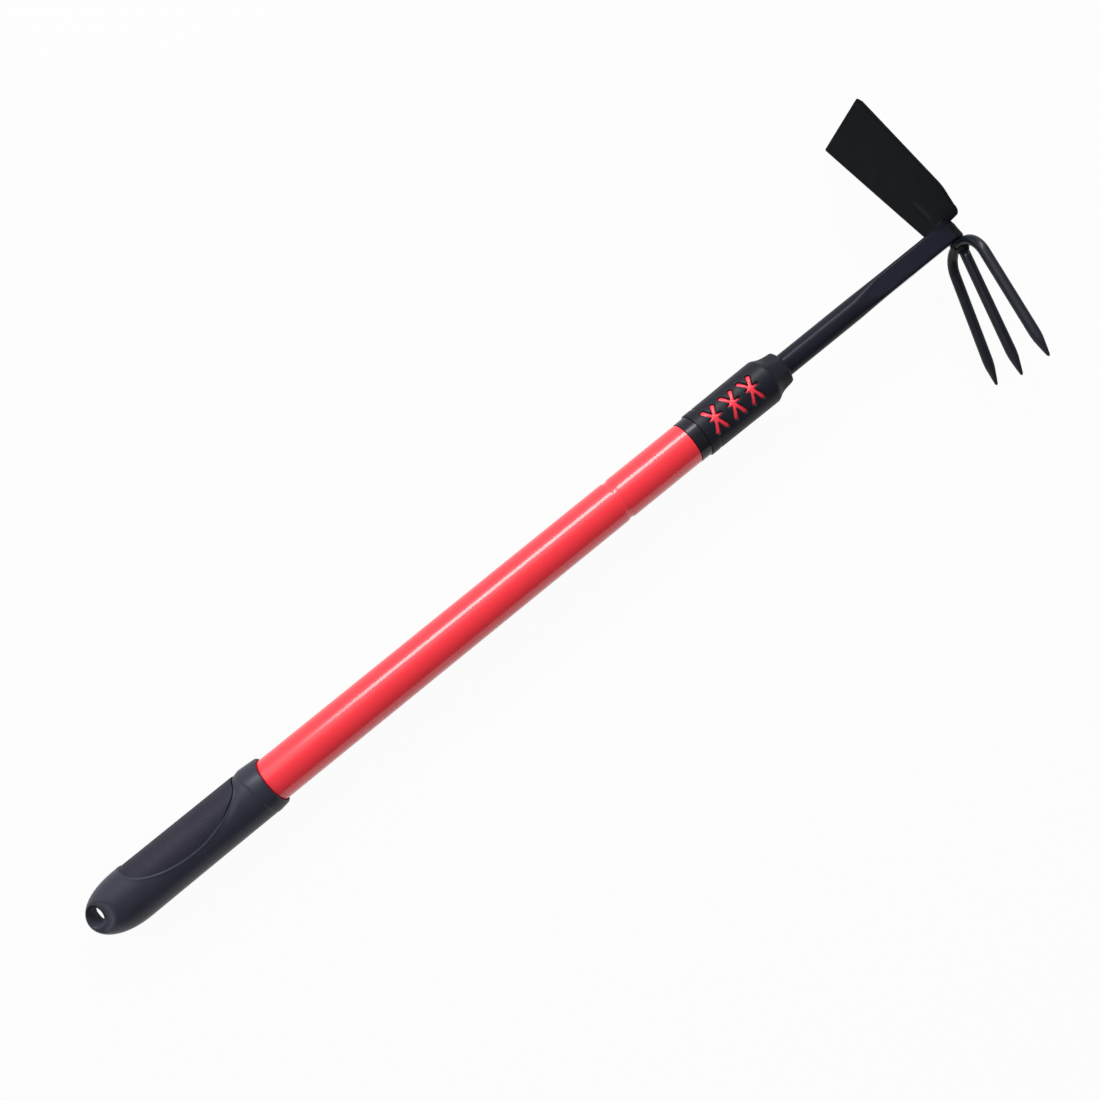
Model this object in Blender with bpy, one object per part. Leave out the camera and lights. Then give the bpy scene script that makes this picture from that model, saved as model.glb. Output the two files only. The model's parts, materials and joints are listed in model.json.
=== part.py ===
"""Telescopic double hoe.

A red steel tube with a moulded grip carries a thinner black tube, which slides out of it and is
clamped by a twist nut. The black tube's pressed end carries a hoe blade on one side and a fork of
three tines on the other.

Metres, +Z up. The handle's axis runs along the handle frame's +X, from the butt to the head. The
blade points to its +Y and the tines to its -Y. The tool lies on its side on the ground plane, on
the grip, the blade's lower corner and the lower tine, and the origin is at the middle of its
underside.
"""

import math

import bmesh
import bpy
from mathutils import Matrix, Vector

# Fits
GAP = 0.0003                 # clearance between pieces that seat, slide or turn on each other
THREAD_GAP = 0.00035         # clearance round a thread's crests
END_GAP = 0.0010             # free length behind the guide bush when the tool is closed
STOP_GAP = 0.0005            # free length ahead of the guide bush at full extension

# Travel
TRAVEL = 0.3000              # how far the inner tube slides out

# Outer tube, with the rolled bead that holds the lock body
TUBE_OD = 0.0250
TUBE_WALL = 0.0010
TUBE_IN_BUTT = 0.0040        # how far the tube reaches into the grip's butt
BEAD_FROM_END = 0.0474
BEAD_WIDTH = 0.0056
BEAD_DEPTH = 0.0006

# Grip
GRIP_LENGTH = 0.1150
GRIP_WALL = 0.00205
BUTT_LENGTH = 0.0260
BUTT_SWELL = 0.0004          # the butt is this much fuller, in radius, than the grip
BUTT_FULLNESS = 2.2          # power of the butt's outline
BUTT_SKEW = 0.0009           # the butt's tip lies this far off the axis, towards the pad
COLLAR_SHORT = 0.0067        # collar length over most of its round
COLLAR_LONG = 0.0156         # collar length on the side of the pad
COLLAR_STEP = 0.0004
COLLAR_DRAFT = 0.0009        # fall in radius from the collar's step to the mouth
HANG_HOLE_FROM_TIP = 0.0076
HANG_HOLE_SIDE = 0.0025      # the hang hole lies this far off the axis, towards the pad
HANG_HOLE_LENGTH = 0.0086
HANG_HOLE_WIDTH = 0.0098
HANG_WEB = 0.0140            # thickness left between the two hollows round the hang hole
HOLLOW_FROM_TIP = 0.0081     # middle of a hollow's flat floor
HOLLOW_SIDE = 0.0006
HOLLOW_LENGTH = 0.0104
HOLLOW_WIDTH = 0.0142
HOLLOW_FLARE = 0.0025        # how far a hollow's wall leans out

# Pad inlaid in the grip's +Y side
PAD_START = 0.0290
PAD_REAR = 0.0380            # from its rear end to its widest place
PAD_TO_COLLAR = 0.0014       # what is left of the grip between the pad and the collar
PAD_CUT = 0.0090             # how far past its cut front end the pad's outline would close
PAD_WRAP = math.radians(104.0)
PAD_THICKNESS = 0.0007
PAD_RECESS = 0.0001
PAD_REAR_FULLNESS = 2.4      # power of the pad's outline behind its widest place
PAD_FRONT_FULLNESS = 1.8

# Plug in the rear end of the outer tube
PLUG_HEAD = 0.0018
PLUG_DEPTH = 0.0060
PLUG_WALL = 0.0018

# Inner tube
NECK_OD = 0.0137
NECK_WALL = 0.0012
NECK_VISIBLE = 0.1281        # length ahead of the nut when closed
PRESSED_LENGTH = 0.0672
PRESSED_WIDTH = 0.0127
PRESSED_HEIGHT = 0.0106
PRESSED_CORNER = 0.0022
PRESS_RAMP = 0.0100

# Guide bush and its cross pin at the rear end of the inner tube
BUSH_LENGTH = 0.0135
BUSH_LIP = 0.0012
BUSH_LAND = 0.0030
BUSH_RELIEF = 0.0010
PIN_DIAMETER = 0.0030

# Lock body
SHANK_LENGTH = 0.0570
FLANGE_LENGTH = 0.0067
FLANGE_PROUD = 0.0002
LOCK_WALL = 0.00275          # wall under the thread
THREAD_PITCH = 0.0040
THREAD_TURNS = 3.0
THREAD_DEPTH = 0.0008
THREAD_WIDTH = 0.0013        # width of a ridge at its foot
THREAD_CREST = 0.0007        # width of a ridge at its crest
THREAD_LEAD = 0.0015         # plain length behind the thread
SPIGOT_LENGTH = 0.0080       # plain length ahead of the thread
BODY_CHAMFER = 0.0006
SEAT_DEPTH = 0.0030          # depth of the cone that takes the clamp ring

# Clamp ring
RING_LENGTH = 0.0160
RING_WALL = 0.00245
RING_END_WALL = 0.0010
RING_FRONT_CONE = 0.0075
RING_SLIT = 0.0012

# Lock nut, its rubber sleeve and the wiper ring
NUT_WALL = 0.00115           # wall of the red core over the thread
NUT_FRONT = 0.0230           # length of the nut ahead of the clamp ring
SLEEVE_WALL = 0.0010
SLEEVE_SWELL = 0.0003        # the sleeve is this much fuller, in radius, at its shoulder
SLEEVE_LIP = 0.0012          # thickness of the sleeve's lip at either end
RIM_LENGTH = 0.0062          # rim behind the sleeve's rear groove
RIM_GROOVE = 0.0003
RIM_ROUNDING = 0.0005
NOSE_LENGTH = 0.0130
NOSE_MOUTH_WALL = 0.0029     # wall of the sleeve's nose at its mouth
NOSE_FLATS = 8
WIPER_LENGTH = 0.0040
WIPER_WALL = 0.0016

# Openings in the sleeve, which show the red core
CROSS_COUNT = 3
CROSS_PITCH = 0.0128
CROSS_ROWS = 2
CROSS_BACK = 0.0008          # their middle lies this far behind the middle of the sleeve's body
CROSS_TURN = math.radians(4.0)   # the first row faces this far from +Z towards +Y
CROSS_RECESS = 0.0004
CROSS_ARM = 0.0098           # length of a long arm, along the surface
CROSS_ARM_LEAN = math.radians(22.0)
CROSS_STUB = 0.0042          # length of a short arm
CROSS_NECK = 0.0017          # width of an arm at its root
CROSS_TIP = 0.0028           # width of an arm at its tip

# Blade
BLADE_LENGTH = 0.0835        # from its root edge to its cutting edge
BLADE_EDGE_WIDTH = 0.0554
BLADE_MID_WIDTH = 0.0458
BLADE_MID_AT = 0.0168        # where its sides kink, from its root edge
BLADE_ROOT_WIDTH = 0.0368
BLADE_ROOT_CORNER = 0.0055
BLADE_THICKNESS = 0.0020
BLADE_LEAN = math.radians(5.2)
BLADE_BEVEL = 0.0035
BLADE_EDGE_THICKNESS = 0.0006
BLADE_ROOT_AT = 0.0038       # root edge's distance from the handle's axis

# Fork
TINE_DIAMETER = 0.0060
MIDDLE_TINE_ROOT = 0.0052
TINE_LENGTH = 0.0798
MIDDLE_TINE_LENGTH = 0.0816
FORK_LEAN = math.radians(16.2)
CROWN_INSET = 0.0002         # the crown's axis lies this far behind the tube's end
CROWN_HALF = 0.0030          # straight half of the crown
TINE_BEND = 0.0148           # bend radius between the crown and an outer tine
TINE_SPLAY = math.radians(8.8)
POINT_LENGTH = 0.0110

# Weld beads
WELD_HEIGHT = 0.0008         # height of the beads over the seam of tube and tab
WELD_ON_TUBE = 0.0016        # how far these beads reach over the tube
WELD_ON_TAB = 0.0018
WELD_LEG = 0.0024
WELD_END = 0.0008            # how far short of an edge a bead stops
WELD_RIPPLE = 0.04           # share of a bead's size by which it rises and falls

# Facets
SEGMENTS = 40
SMALL_SEGMENTS = 32
ROD_SEGMENTS = 12
THREAD_STEPS = 18            # facets for each turn of a thread
THREAD_PHASE = math.radians(3.1)   # keeps a thread's corners off those of its wall
MERGE = 0.000001

# Stations along the handle, from the butt's tip
tube_rear = BUTT_LENGTH - TUBE_IN_BUTT
bush_rear = tube_rear + PLUG_DEPTH + END_GAP
bush_front = bush_rear + BUSH_LENGTH
shank_rear = bush_front + TRAVEL + STOP_GAP
tube_front = shank_rear + SHANK_LENGTH
flange_rear = tube_front + GAP
flange_front = flange_rear + FLANGE_LENGTH
thread_start = flange_front + THREAD_LEAD
thread_length = THREAD_TURNS * THREAD_PITCH
body_front = thread_start + thread_length + SPIGOT_LENGTH
ring_rear = body_front + GAP
ring_front = ring_rear + RING_LENGTH
nut_rear = flange_front + GAP
nut_front = ring_front + GAP + NUT_FRONT
nut_length = nut_front - nut_rear
neck_rear = bush_rear + BUSH_LIP + GAP
neck_front = nut_front + NECK_VISIBLE
pressed_start = neck_front - PRESSED_LENGTH
pad_front = GRIP_LENGTH - COLLAR_LONG - PAD_TO_COLLAR
pin_at = bush_rear + BUSH_LENGTH / 2

# Where each moving frame sits on the handle's axis
frame_at = {"slide": bush_rear, "clamp": ring_rear, "nut": nut_rear}

# Radii
tube_r = TUBE_OD / 2
tube_inner_r = tube_r - TUBE_WALL
sliding_r = tube_inner_r - GAP
grip_bore_r = tube_r + GAP
grip_r = grip_bore_r + GRIP_WALL
butt_r = grip_r + BUTT_SWELL
pad_outer_r = grip_r - PAD_RECESS
pad_inner_r = pad_outer_r - PAD_THICKNESS
neck_r = NECK_OD / 2
neck_bore_r = neck_r + GAP
thread_root_r = neck_bore_r + LOCK_WALL
thread_crest_r = thread_root_r + THREAD_DEPTH
nut_bore_r = thread_crest_r + THREAD_GAP
core_r = nut_bore_r + NUT_WALL
sleeve_inner_r = core_r + GAP
sleeve_r = sleeve_inner_r + SLEEVE_WALL
ring_r = neck_bore_r + RING_WALL
ring_end_r = neck_bore_r + RING_END_WALL
seat_slope = (ring_r - ring_end_r) / RING_FRONT_CONE
nose_bore_r = neck_bore_r + GAP
wiper_r = neck_bore_r + WIPER_WALL
nose_inner_r = wiper_r + GAP
mouth_r = nose_bore_r + NOSE_MOUTH_WALL
cross_face_r = sleeve_r - CROSS_RECESS
rod_r = TINE_DIAMETER / 2
pressed_y = PRESSED_WIDTH / 2
pressed_z = PRESSED_HEIGHT / 2
tab_rear = neck_front + GAP
crown_x = neck_front - CROWN_INSET
crown_y = -(pressed_y + GAP + rod_r)


def material(name, colour, roughness, metallic=0.0):
    """A Principled material; colour is linear red, green and blue."""
    mat = bpy.data.materials.new(name)
    mat.use_nodes = True
    shader = mat.node_tree.nodes["Principled BSDF"]
    shader.inputs["Base Color"].default_value = (*colour, 1.0)
    shader.inputs["Roughness"].default_value = roughness
    shader.inputs["Metallic"].default_value = metallic
    return mat


def empty(name, parent, location=(0.0, 0.0, 0.0), turn_z=0.0):
    """A plain frame that carries pieces and marks a joint's axis."""
    frame = bpy.data.objects.new(name, None)
    frame.empty_display_size = 0.02
    frame.location = location
    frame.rotation_euler = (0.0, 0.0, turn_z)
    frame.parent = parent
    bpy.context.scene.collection.objects.link(frame)
    return frame


def place(name, bm, parent, at=0.0, mat=None):
    """Turn a bmesh into a named object under its parent, at a station along the handle."""
    bmesh.ops.recalc_face_normals(bm, faces=bm.faces)
    mesh = bpy.data.meshes.new(name)
    bm.to_mesh(mesh)
    bm.free()
    mesh.shade_smooth()
    mesh.set_sharp_from_angle(angle=math.radians(35.0))
    if mat:
        mesh.materials.append(mat)
    piece = bpy.data.objects.new(name, mesh)
    piece.location = (at, 0.0, 0.0)
    piece.parent = parent
    bpy.context.scene.collection.objects.link(piece)
    return piece


def turned(name, profile, parent, at=0.0, mat=None, segments=SEGMENTS):
    """Spin a profile of (along, radius) about the X axis. It closes on itself or at its poles."""
    bm = bmesh.new()
    corners = [bm.verts.new((x, 0.0, r)) for x, r in profile]
    ends_on_axis = profile[0][1] == 0.0 and profile[-1][1] == 0.0
    following = corners[1:] if ends_on_axis else corners[1:] + corners[:1]
    edges = [bm.edges.new(pair) for pair in zip(corners, following)]
    bmesh.ops.spin(bm, geom=corners + edges, cent=(0.0, 0.0, 0.0), axis=(1.0, 0.0, 0.0),
                   angle=math.tau, steps=segments, use_merge=True)
    bmesh.ops.remove_doubles(bm, verts=bm.verts, dist=MERGE)
    return place(name, bm, parent, at, mat)


def skinned(name, rings, parent, at=0.0, mat=None, joined=False):
    """Join rings of equally many points. Ends get a face each, unless the rings close in a loop."""
    bm = bmesh.new()
    loops = [[bm.verts.new(point) for point in ring] for ring in rings]
    following = loops[1:] + loops[:1] if joined else loops[1:]
    for near, far in zip(loops, following):
        count = len(near)
        for i in range(count):
            j = (i + 1) % count
            bm.faces.new((near[i], near[j], far[j], far[i]))
    if not joined:
        bm.faces.new(loops[0])
        bm.faces.new(loops[-1])
    bmesh.ops.remove_doubles(bm, verts=bm.verts, dist=MERGE)
    return place(name, bm, parent, at, mat)


def combine(target, tool, operation):
    """Cut a helper shape from a piece, or join it on. The helper is no piece itself."""
    tool.hide_render = True
    tool.display_type = "WIRE"
    step = target.modifiers.new(tool.name, "BOOLEAN")
    step.operation = operation
    step.solver = "EXACT"
    step.object = tool


def around(count):
    """Angles of a full round, from +Y over +Z."""
    return [math.tau * i / count for i in range(count)]


def ring_points(count, along, radius):
    """A ring about the X axis, whose place and radius may change with the angle."""
    return [(along(a), radius(a) * math.cos(a), radius(a) * math.sin(a)) for a in around(count)]


def grip_radius(x):
    """Radius of the grip's body: a blunt oval at the butt, then a slow fall to the grip."""
    if x < BUTT_LENGTH:
        left = (BUTT_LENGTH - x) / BUTT_LENGTH
        return butt_r * max(0.0, 1.0 - left ** BUTT_FULLNESS) ** (1 / BUTT_FULLNESS)
    share = (x - BUTT_LENGTH) / (GRIP_LENGTH - BUTT_LENGTH)
    return butt_r - BUTT_SWELL * math.sin(min(share, 1.0) * math.pi / 2)


def butt_ring(x):
    """A ring of the butt, whose middle runs off the axis towards the tip."""
    off = BUTT_SKEW * ((BUTT_LENGTH - x) / BUTT_LENGTH) ** 2
    return [(x, off + y, z) for x, y, z in ring_points(SEGMENTS, lambda a: x, lambda a: grip_radius(x))]


def collar_edge(angle):
    """Where the collar's step runs: it sweeps back on the pad's side."""
    sweep = ((1.0 + math.cos(angle)) / 2) ** 4
    return GRIP_LENGTH - COLLAR_SHORT - (COLLAR_LONG - COLLAR_SHORT) * sweep


def collar_radius(x, angle):
    """Radius of the collar, which has no step on the side away from the pad."""
    step = COLLAR_STEP * min(1.0, 1.25 * (1.0 + math.cos(angle)) / 2 + 0.35)
    share = (x - collar_edge(angle)) / (GRIP_LENGTH - collar_edge(angle))
    return grip_radius(collar_edge(angle)) + step - COLLAR_DRAFT * share ** 1.5


def grip_sleeve(parent):
    """The grip: a closed butt with the hang hole, a pocket for the pad, a collar and a bore."""
    rings = []
    for degrees in (3.0, 12.0, 24.0, 36.0, 48.0, 60.0, 75.0, 90.0):
        rings.append(butt_ring(BUTT_LENGTH * (1.0 - math.cos(math.radians(degrees)))))
    for share in (0.35, 0.7):
        x = BUTT_LENGTH + share * (GRIP_LENGTH - COLLAR_LONG - BUTT_LENGTH)
        rings.append(ring_points(SEGMENTS, lambda a, x=x: x, lambda a, x=x: grip_radius(x)))
    ramp = 1.5 * COLLAR_STEP
    rings.append(ring_points(SEGMENTS, lambda a: collar_edge(a) - ramp,
                             lambda a: grip_radius(collar_edge(a) - ramp)))
    for share in (0.0, 0.5, 0.9):
        def along(a, share=share):
            return collar_edge(a) + share * (GRIP_LENGTH - collar_edge(a))
        rings.append(ring_points(SEGMENTS, along, lambda a, along=along: collar_radius(along(a), a)))
    mouth = min(collar_radius(GRIP_LENGTH, a) for a in around(SEGMENTS))
    edge = (mouth - grip_bore_r) / 3
    rings.append(ring_points(SEGMENTS, lambda a: GRIP_LENGTH, lambda a: mouth - edge))
    rings.append(ring_points(SEGMENTS, lambda a: GRIP_LENGTH, lambda a: grip_bore_r))
    bore_end = tube_rear - GAP - PLUG_HEAD - GAP
    rings.append(ring_points(SEGMENTS, lambda a: bore_end, lambda a: grip_bore_r))
    grip = skinned("grip_sleeve", rings, parent,
                   mat=material("grip_plastic", (0.020, 0.020, 0.027), 0.42))
    combine(grip, pad_shape("pad_pocket", parent, pad_inner_r - GAP, grip_r + GRIP_WALL, GAP), "DIFFERENCE")
    combine(grip, hang_hole_cutter(parent), "DIFFERENCE")
    for side in (1.0, -1.0):
        combine(grip, hang_hollow_cutter(parent, side), "DIFFERENCE")
    return grip


def ellipse_ring(x, y, half_x, half_y, z):
    """An ellipse in a level plane."""
    return [(x + half_x * math.cos(a), y + half_y * math.sin(a), z) for a in around(SMALL_SEGMENTS)]


def hang_hole_cutter(parent):
    """An oval prism through the butt, along Z."""
    half_x = HANG_HOLE_LENGTH / 2
    half_y = HANG_HOLE_WIDTH / 2
    reach = 2 * butt_r
    rings = [ellipse_ring(HANG_HOLE_FROM_TIP, HANG_HOLE_SIDE, half_x, half_y, z)
             for z in (-reach, reach)]
    return skinned("hang_hole_cutter", rings, parent)


def hang_hollow_cutter(parent, side):
    """An oval dish on one face of the butt, with a flat floor round the hang hole."""
    half_x = HOLLOW_LENGTH / 2
    half_y = HOLLOW_WIDTH / 2
    floor = side * HANG_WEB / 2
    top = side * (butt_r + GRIP_WALL)
    rings = [ellipse_ring(HOLLOW_FROM_TIP, HOLLOW_SIDE, half_x, half_y, floor),
             ellipse_ring(HOLLOW_FROM_TIP, HOLLOW_SIDE, half_x + HOLLOW_FLARE, half_y + HOLLOW_FLARE,
                          top)]
    return skinned("hang_hollow_upper" if side > 0 else "hang_hollow_lower", rings, parent)


def pad_wrap(x):
    """Half the angle that the pad covers at a station: a rounded leaf, cut off before the collar."""
    widest = PAD_START + PAD_REAR
    if x < widest:
        off, fullness = (widest - x) / PAD_REAR, PAD_REAR_FULLNESS
    else:
        off, fullness = (x - widest) / (pad_front + PAD_CUT - widest), PAD_FRONT_FULLNESS
    return PAD_WRAP * max(0.0, 1.0 - off ** 2) ** (1 / fullness)


def pad_shape(name, parent, inner_r, outer_r, margin, mat=None):
    """A curved shell with the pad's outline, grown by a margin on every edge."""
    rings = []
    steps = 12
    columns = 16
    for i in range(steps + 1):
        share = 0.5 - 0.5 * math.cos(math.pi * (0.04 + 0.96 * i / steps))
        x = PAD_START + (pad_front - PAD_START) * share
        wrap = pad_wrap(x) + margin / pad_inner_r
        x += margin * (2 * share - 1)
        turns = [wrap * (2 * j / columns - 1) for j in range(columns + 1)]
        outer = [(x, outer_r * math.cos(a), outer_r * math.sin(a)) for a in turns]
        inner = [(x, inner_r * math.cos(a), inner_r * math.sin(a)) for a in reversed(turns)]
        rings.append(outer + inner)
    return skinned(name, rings, parent, mat=mat)


def tube_plug(parent):
    """A cup pushed into the tube's rear end; the closed tool's guide bush stops short of it."""
    head_r = tube_r - GAP
    cup_r = sliding_r - PLUG_WALL
    floor = PLUG_HEAD + PLUG_WALL / 2
    depth = PLUG_HEAD + GAP + PLUG_DEPTH
    profile = [(0.0, 0.0), (0.0, head_r), (PLUG_HEAD, head_r), (PLUG_HEAD, sliding_r),
               (depth, sliding_r), (depth, cup_r), (floor, cup_r), (floor, 0.0)]
    return turned("tube_plug", profile, parent, tube_rear - GAP - PLUG_HEAD,
                  material("plug_plastic", (0.05, 0.05, 0.055), 0.5), SMALL_SEGMENTS)


def bead_run(radius, centre, width):
    """Points of a smooth dip, BEAD_DEPTH deep, in a run of constant radius."""
    points = []
    for i in range(5):
        share = i / 4
        dip = BEAD_DEPTH * (1.0 - math.cos(math.tau * share)) / 2
        points.append((centre + width * (share - 0.5), radius - dip))
    return points


def outer_tube(parent):
    """The red tube, with the bead rolled into the lock body's groove."""
    length = tube_front - tube_rear
    bead = length - BEAD_FROM_END
    outside = [(0.0, tube_r)] + bead_run(tube_r, bead, BEAD_WIDTH) + [(length, tube_r)]
    inside = [(length, tube_inner_r)] + bead_run(tube_inner_r, bead, BEAD_WIDTH)[::-1]
    return turned("outer_tube", outside + inside + [(0.0, tube_inner_r)], parent, tube_rear,
                  material("red_paint", (0.80, 0.035, 0.055), 0.22))


def thread_ridge(name, parent, start, foot_r, crest_r):
    """A helical ridge, right-handed about +X. It sinks into its wall at both ends."""
    sink = foot_r + (foot_r - crest_r) * 0.4
    total = round(THREAD_TURNS * THREAD_STEPS)
    fade = THREAD_STEPS // 4
    rings = []
    for i in range(total + 1):
        angle = THREAD_PHASE + math.tau * i / THREAD_STEPS
        x = start + THREAD_PITCH * i / THREAD_STEPS
        rise = min(1.0, (i + 0.5) / fade, (total - i + 0.5) / fade)
        top = foot_r + (crest_r - foot_r) * (1.3 * rise - 0.3)
        section = [(x - THREAD_WIDTH / 2, sink), (x - THREAD_CREST / 2, top),
                   (x + THREAD_CREST / 2, top), (x + THREAD_WIDTH / 2, sink)]
        rings.append([(along, r * math.cos(angle), r * math.sin(angle)) for along, r in section])
    return skinned(name, rings, parent)


def lock_body(parent):
    """The plastic body in the tube's front end: shank, glossy flange, thread and cone seat."""
    rear = -SHANK_LENGTH
    flange = flange_rear - tube_front
    thread_root = flange_front - tube_front
    front = body_front - tube_front
    flange_r = tube_r + FLANGE_PROUD
    groove = bead_run(sliding_r, -BEAD_FROM_END, BEAD_WIDTH + 2 * GAP)
    seat_r = ring_end_r + GAP + SEAT_DEPTH * seat_slope
    outside = [(rear, sliding_r - BODY_CHAMFER), (rear + BODY_CHAMFER, sliding_r)] + groove
    outside += [(flange, sliding_r), (flange, flange_r), (thread_root - BODY_CHAMFER, flange_r),
                (thread_root, flange_r - BODY_CHAMFER), (thread_root, thread_root_r),
                (front, thread_root_r)]
    bore = [(front, seat_r), (front - SEAT_DEPTH, neck_bore_r), (rear, neck_bore_r)]
    body = turned("lock_body", outside + bore, parent, tube_front,
                  material("lock_plastic", (0.012, 0.012, 0.015), 0.16), SEGMENTS)
    ridge = thread_ridge("outer_thread", parent, thread_start, thread_root_r, thread_crest_r)
    combine(body, ridge, "UNION")
    return body


def clamp_ring(parent):
    """The split ring with a cone at each end, which the nut squeezes onto the inner tube."""
    rear_cone = SEAT_DEPTH
    profile = [(0.0, neck_bore_r), (0.0, ring_end_r), (rear_cone, ring_end_r + rear_cone * seat_slope),
               (RING_LENGTH - RING_FRONT_CONE, ring_r), (RING_LENGTH, ring_end_r),
               (RING_LENGTH, neck_bore_r)]
    ring = turned("clamp_ring", profile, parent, ring_rear - frame_at["clamp"],
                  material("clamp_plastic", (0.55, 0.55, 0.52), 0.4), SMALL_SEGMENTS)
    half = RING_SLIT / 2
    section = [(y, z) for y, z in ((-half, 0.0), (half, 0.0), (half, -2 * ring_r), (-half, -2 * ring_r))]
    rings = [[(x, y, z) for y, z in section] for x in (-RING_LENGTH, 2 * RING_LENGTH)]
    combine(ring, skinned("clamp_slit", rings, parent, ring_rear - frame_at["clamp"]), "DIFFERENCE")
    return ring


def cross_outline(margin):
    """Outline of one opening, flat: four long arms and two short ones, each a club with a round
    end. The first axis runs along the handle and the second round it."""
    lean = CROSS_ARM_LEAN
    arms = [(0.0, CROSS_STUB), (math.pi / 2 - lean, CROSS_ARM), (math.pi / 2 + lean, CROSS_ARM),
            (math.pi, CROSS_STUB), (-math.pi / 2 - lean, CROSS_ARM), (-math.pi / 2 + lean, CROSS_ARM)]
    neck = CROSS_NECK / 2 + margin
    tip = CROSS_TIP / 2 + margin
    points = []
    for i, (angle, length) in enumerate(arms):
        after = arms[(i + 1) % len(arms)][0]
        ahead = Vector((math.cos(angle), math.sin(angle)))
        side = Vector((-ahead.y, ahead.x))
        end = ahead * (length + margin - tip)
        for turn in (-90.0, -30.0, 30.0, 90.0):
            bend = math.radians(turn)
            points.append(end + tip * (ahead * math.cos(bend) + side * math.sin(bend)))
        half_angle = ((after - angle) % math.tau) / 2
        corner = angle + half_angle
        reach = neck / math.sin(half_angle)
        points.append(reach * Vector((math.cos(corner), math.sin(corner))))
    return points


def cross_prisms(name, parent, margin, row):
    """The prisms of one row of crosses, straight out through the nut's wall on one side."""
    bm = bmesh.new()
    middle = (nut_length - NOSE_LENGTH) / 2 - CROSS_BACK
    for k in range(CROSS_COUNT):
        centre = middle + CROSS_PITCH * (k - (CROSS_COUNT - 1) / 2)
        flat = [(centre + point.x, sleeve_r * math.sin(point.y / sleeve_r))
                for point in cross_outline(margin)]
        low, high = [[bm.verts.new((x, y, z)) for x, y in flat] for z in (sleeve_r / 2, 1.5 * sleeve_r)]
        count = len(flat)
        for i in range(count):
            j = (i + 1) % count
            bm.faces.new((low[i], low[j], high[j], high[i]))
        bm.faces.new(low)
        bm.faces.new(high)
    turn = Matrix.Rotation(math.tau * row / CROSS_ROWS - CROSS_TURN, 4, "X")
    bmesh.ops.transform(bm, matrix=turn, verts=bm.verts)
    return place(name, bm, parent, nut_rear - frame_at["nut"])


def cross_shell(name, parent):
    """The round shell that gives the raised crosses their face and their root in the core."""
    root_r = core_r - NUT_WALL / 3
    profile = [(0.0, root_r), (0.0, cross_face_r), (nut_length, cross_face_r), (nut_length, root_r)]
    return turned(name, profile, parent, nut_rear - frame_at["nut"])


def nut_inside(x0, x1):
    """Bore of the nut from its front to its rear: neck clearance, cone, then thread bore."""
    cone_front = ring_front + GAP - nut_rear
    cone_rear = cone_front - GAP - RING_FRONT_CONE
    return [(x1, nose_bore_r), (cone_front, nose_bore_r), (cone_front, ring_end_r + GAP),
            (cone_rear, ring_r + GAP), (cone_rear - (nut_bore_r - ring_r - GAP), nut_bore_r),
            (x0, nut_bore_r)]


def lock_nut(parent):
    """The red core: thread, inner cone and the raised crosses that show through the sleeve."""
    rear = SLEEVE_LIP + GAP
    front = nut_length - SLEEVE_LIP - GAP - WIPER_LENGTH - GAP
    shoulder = nut_length - NOSE_LENGTH
    nose_r = nose_inner_r - GAP
    profile = [(rear, core_r), (shoulder - GAP, core_r), (front - GAP, nose_r), (front, nose_r)]
    core = turned("lock_nut", profile + nut_inside(rear, front), parent, nut_rear - frame_at["nut"],
                  material("red_plastic", (0.80, 0.045, 0.075), 0.45), SEGMENTS)
    ridge = thread_ridge("inner_thread", parent, thread_start + THREAD_PITCH / 2 - frame_at["nut"],
                         nut_bore_r, nut_bore_r - THREAD_DEPTH)
    combine(core, ridge, "UNION")
    for row in range(CROSS_ROWS):
        raised = cross_prisms(f"raised_crosses_{row}", parent, 0.0, row)
        combine(raised, cross_shell(f"cross_shell_{row}", parent), "INTERSECT")
        combine(core, raised, "UNION")
    return core


def sleeve_outside():
    """The sleeve's outer profile: a rim with a groove, a slow swell and a rounded cone."""
    shoulder = nut_length - NOSE_LENGTH
    full = sleeve_r + SLEEVE_SWELL
    fall = full - mouth_r
    rim = [(0.0, sleeve_r - RIM_ROUNDING), (RIM_ROUNDING, sleeve_r),
           (RIM_LENGTH - RIM_GROOVE, sleeve_r), (RIM_LENGTH, sleeve_r - RIM_GROOVE),
           (RIM_LENGTH + RIM_GROOVE, sleeve_r)]
    taper = [(0.0, 0.0), (0.15, 0.15), (0.42, 0.55), (0.62, 0.72), (0.88, 0.84), (0.92, 0.95),
             (1.0, 1.0)]
    return rim + [(shoulder + NOSE_LENGTH * along, full - fall * down) for along, down in taper]


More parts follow.
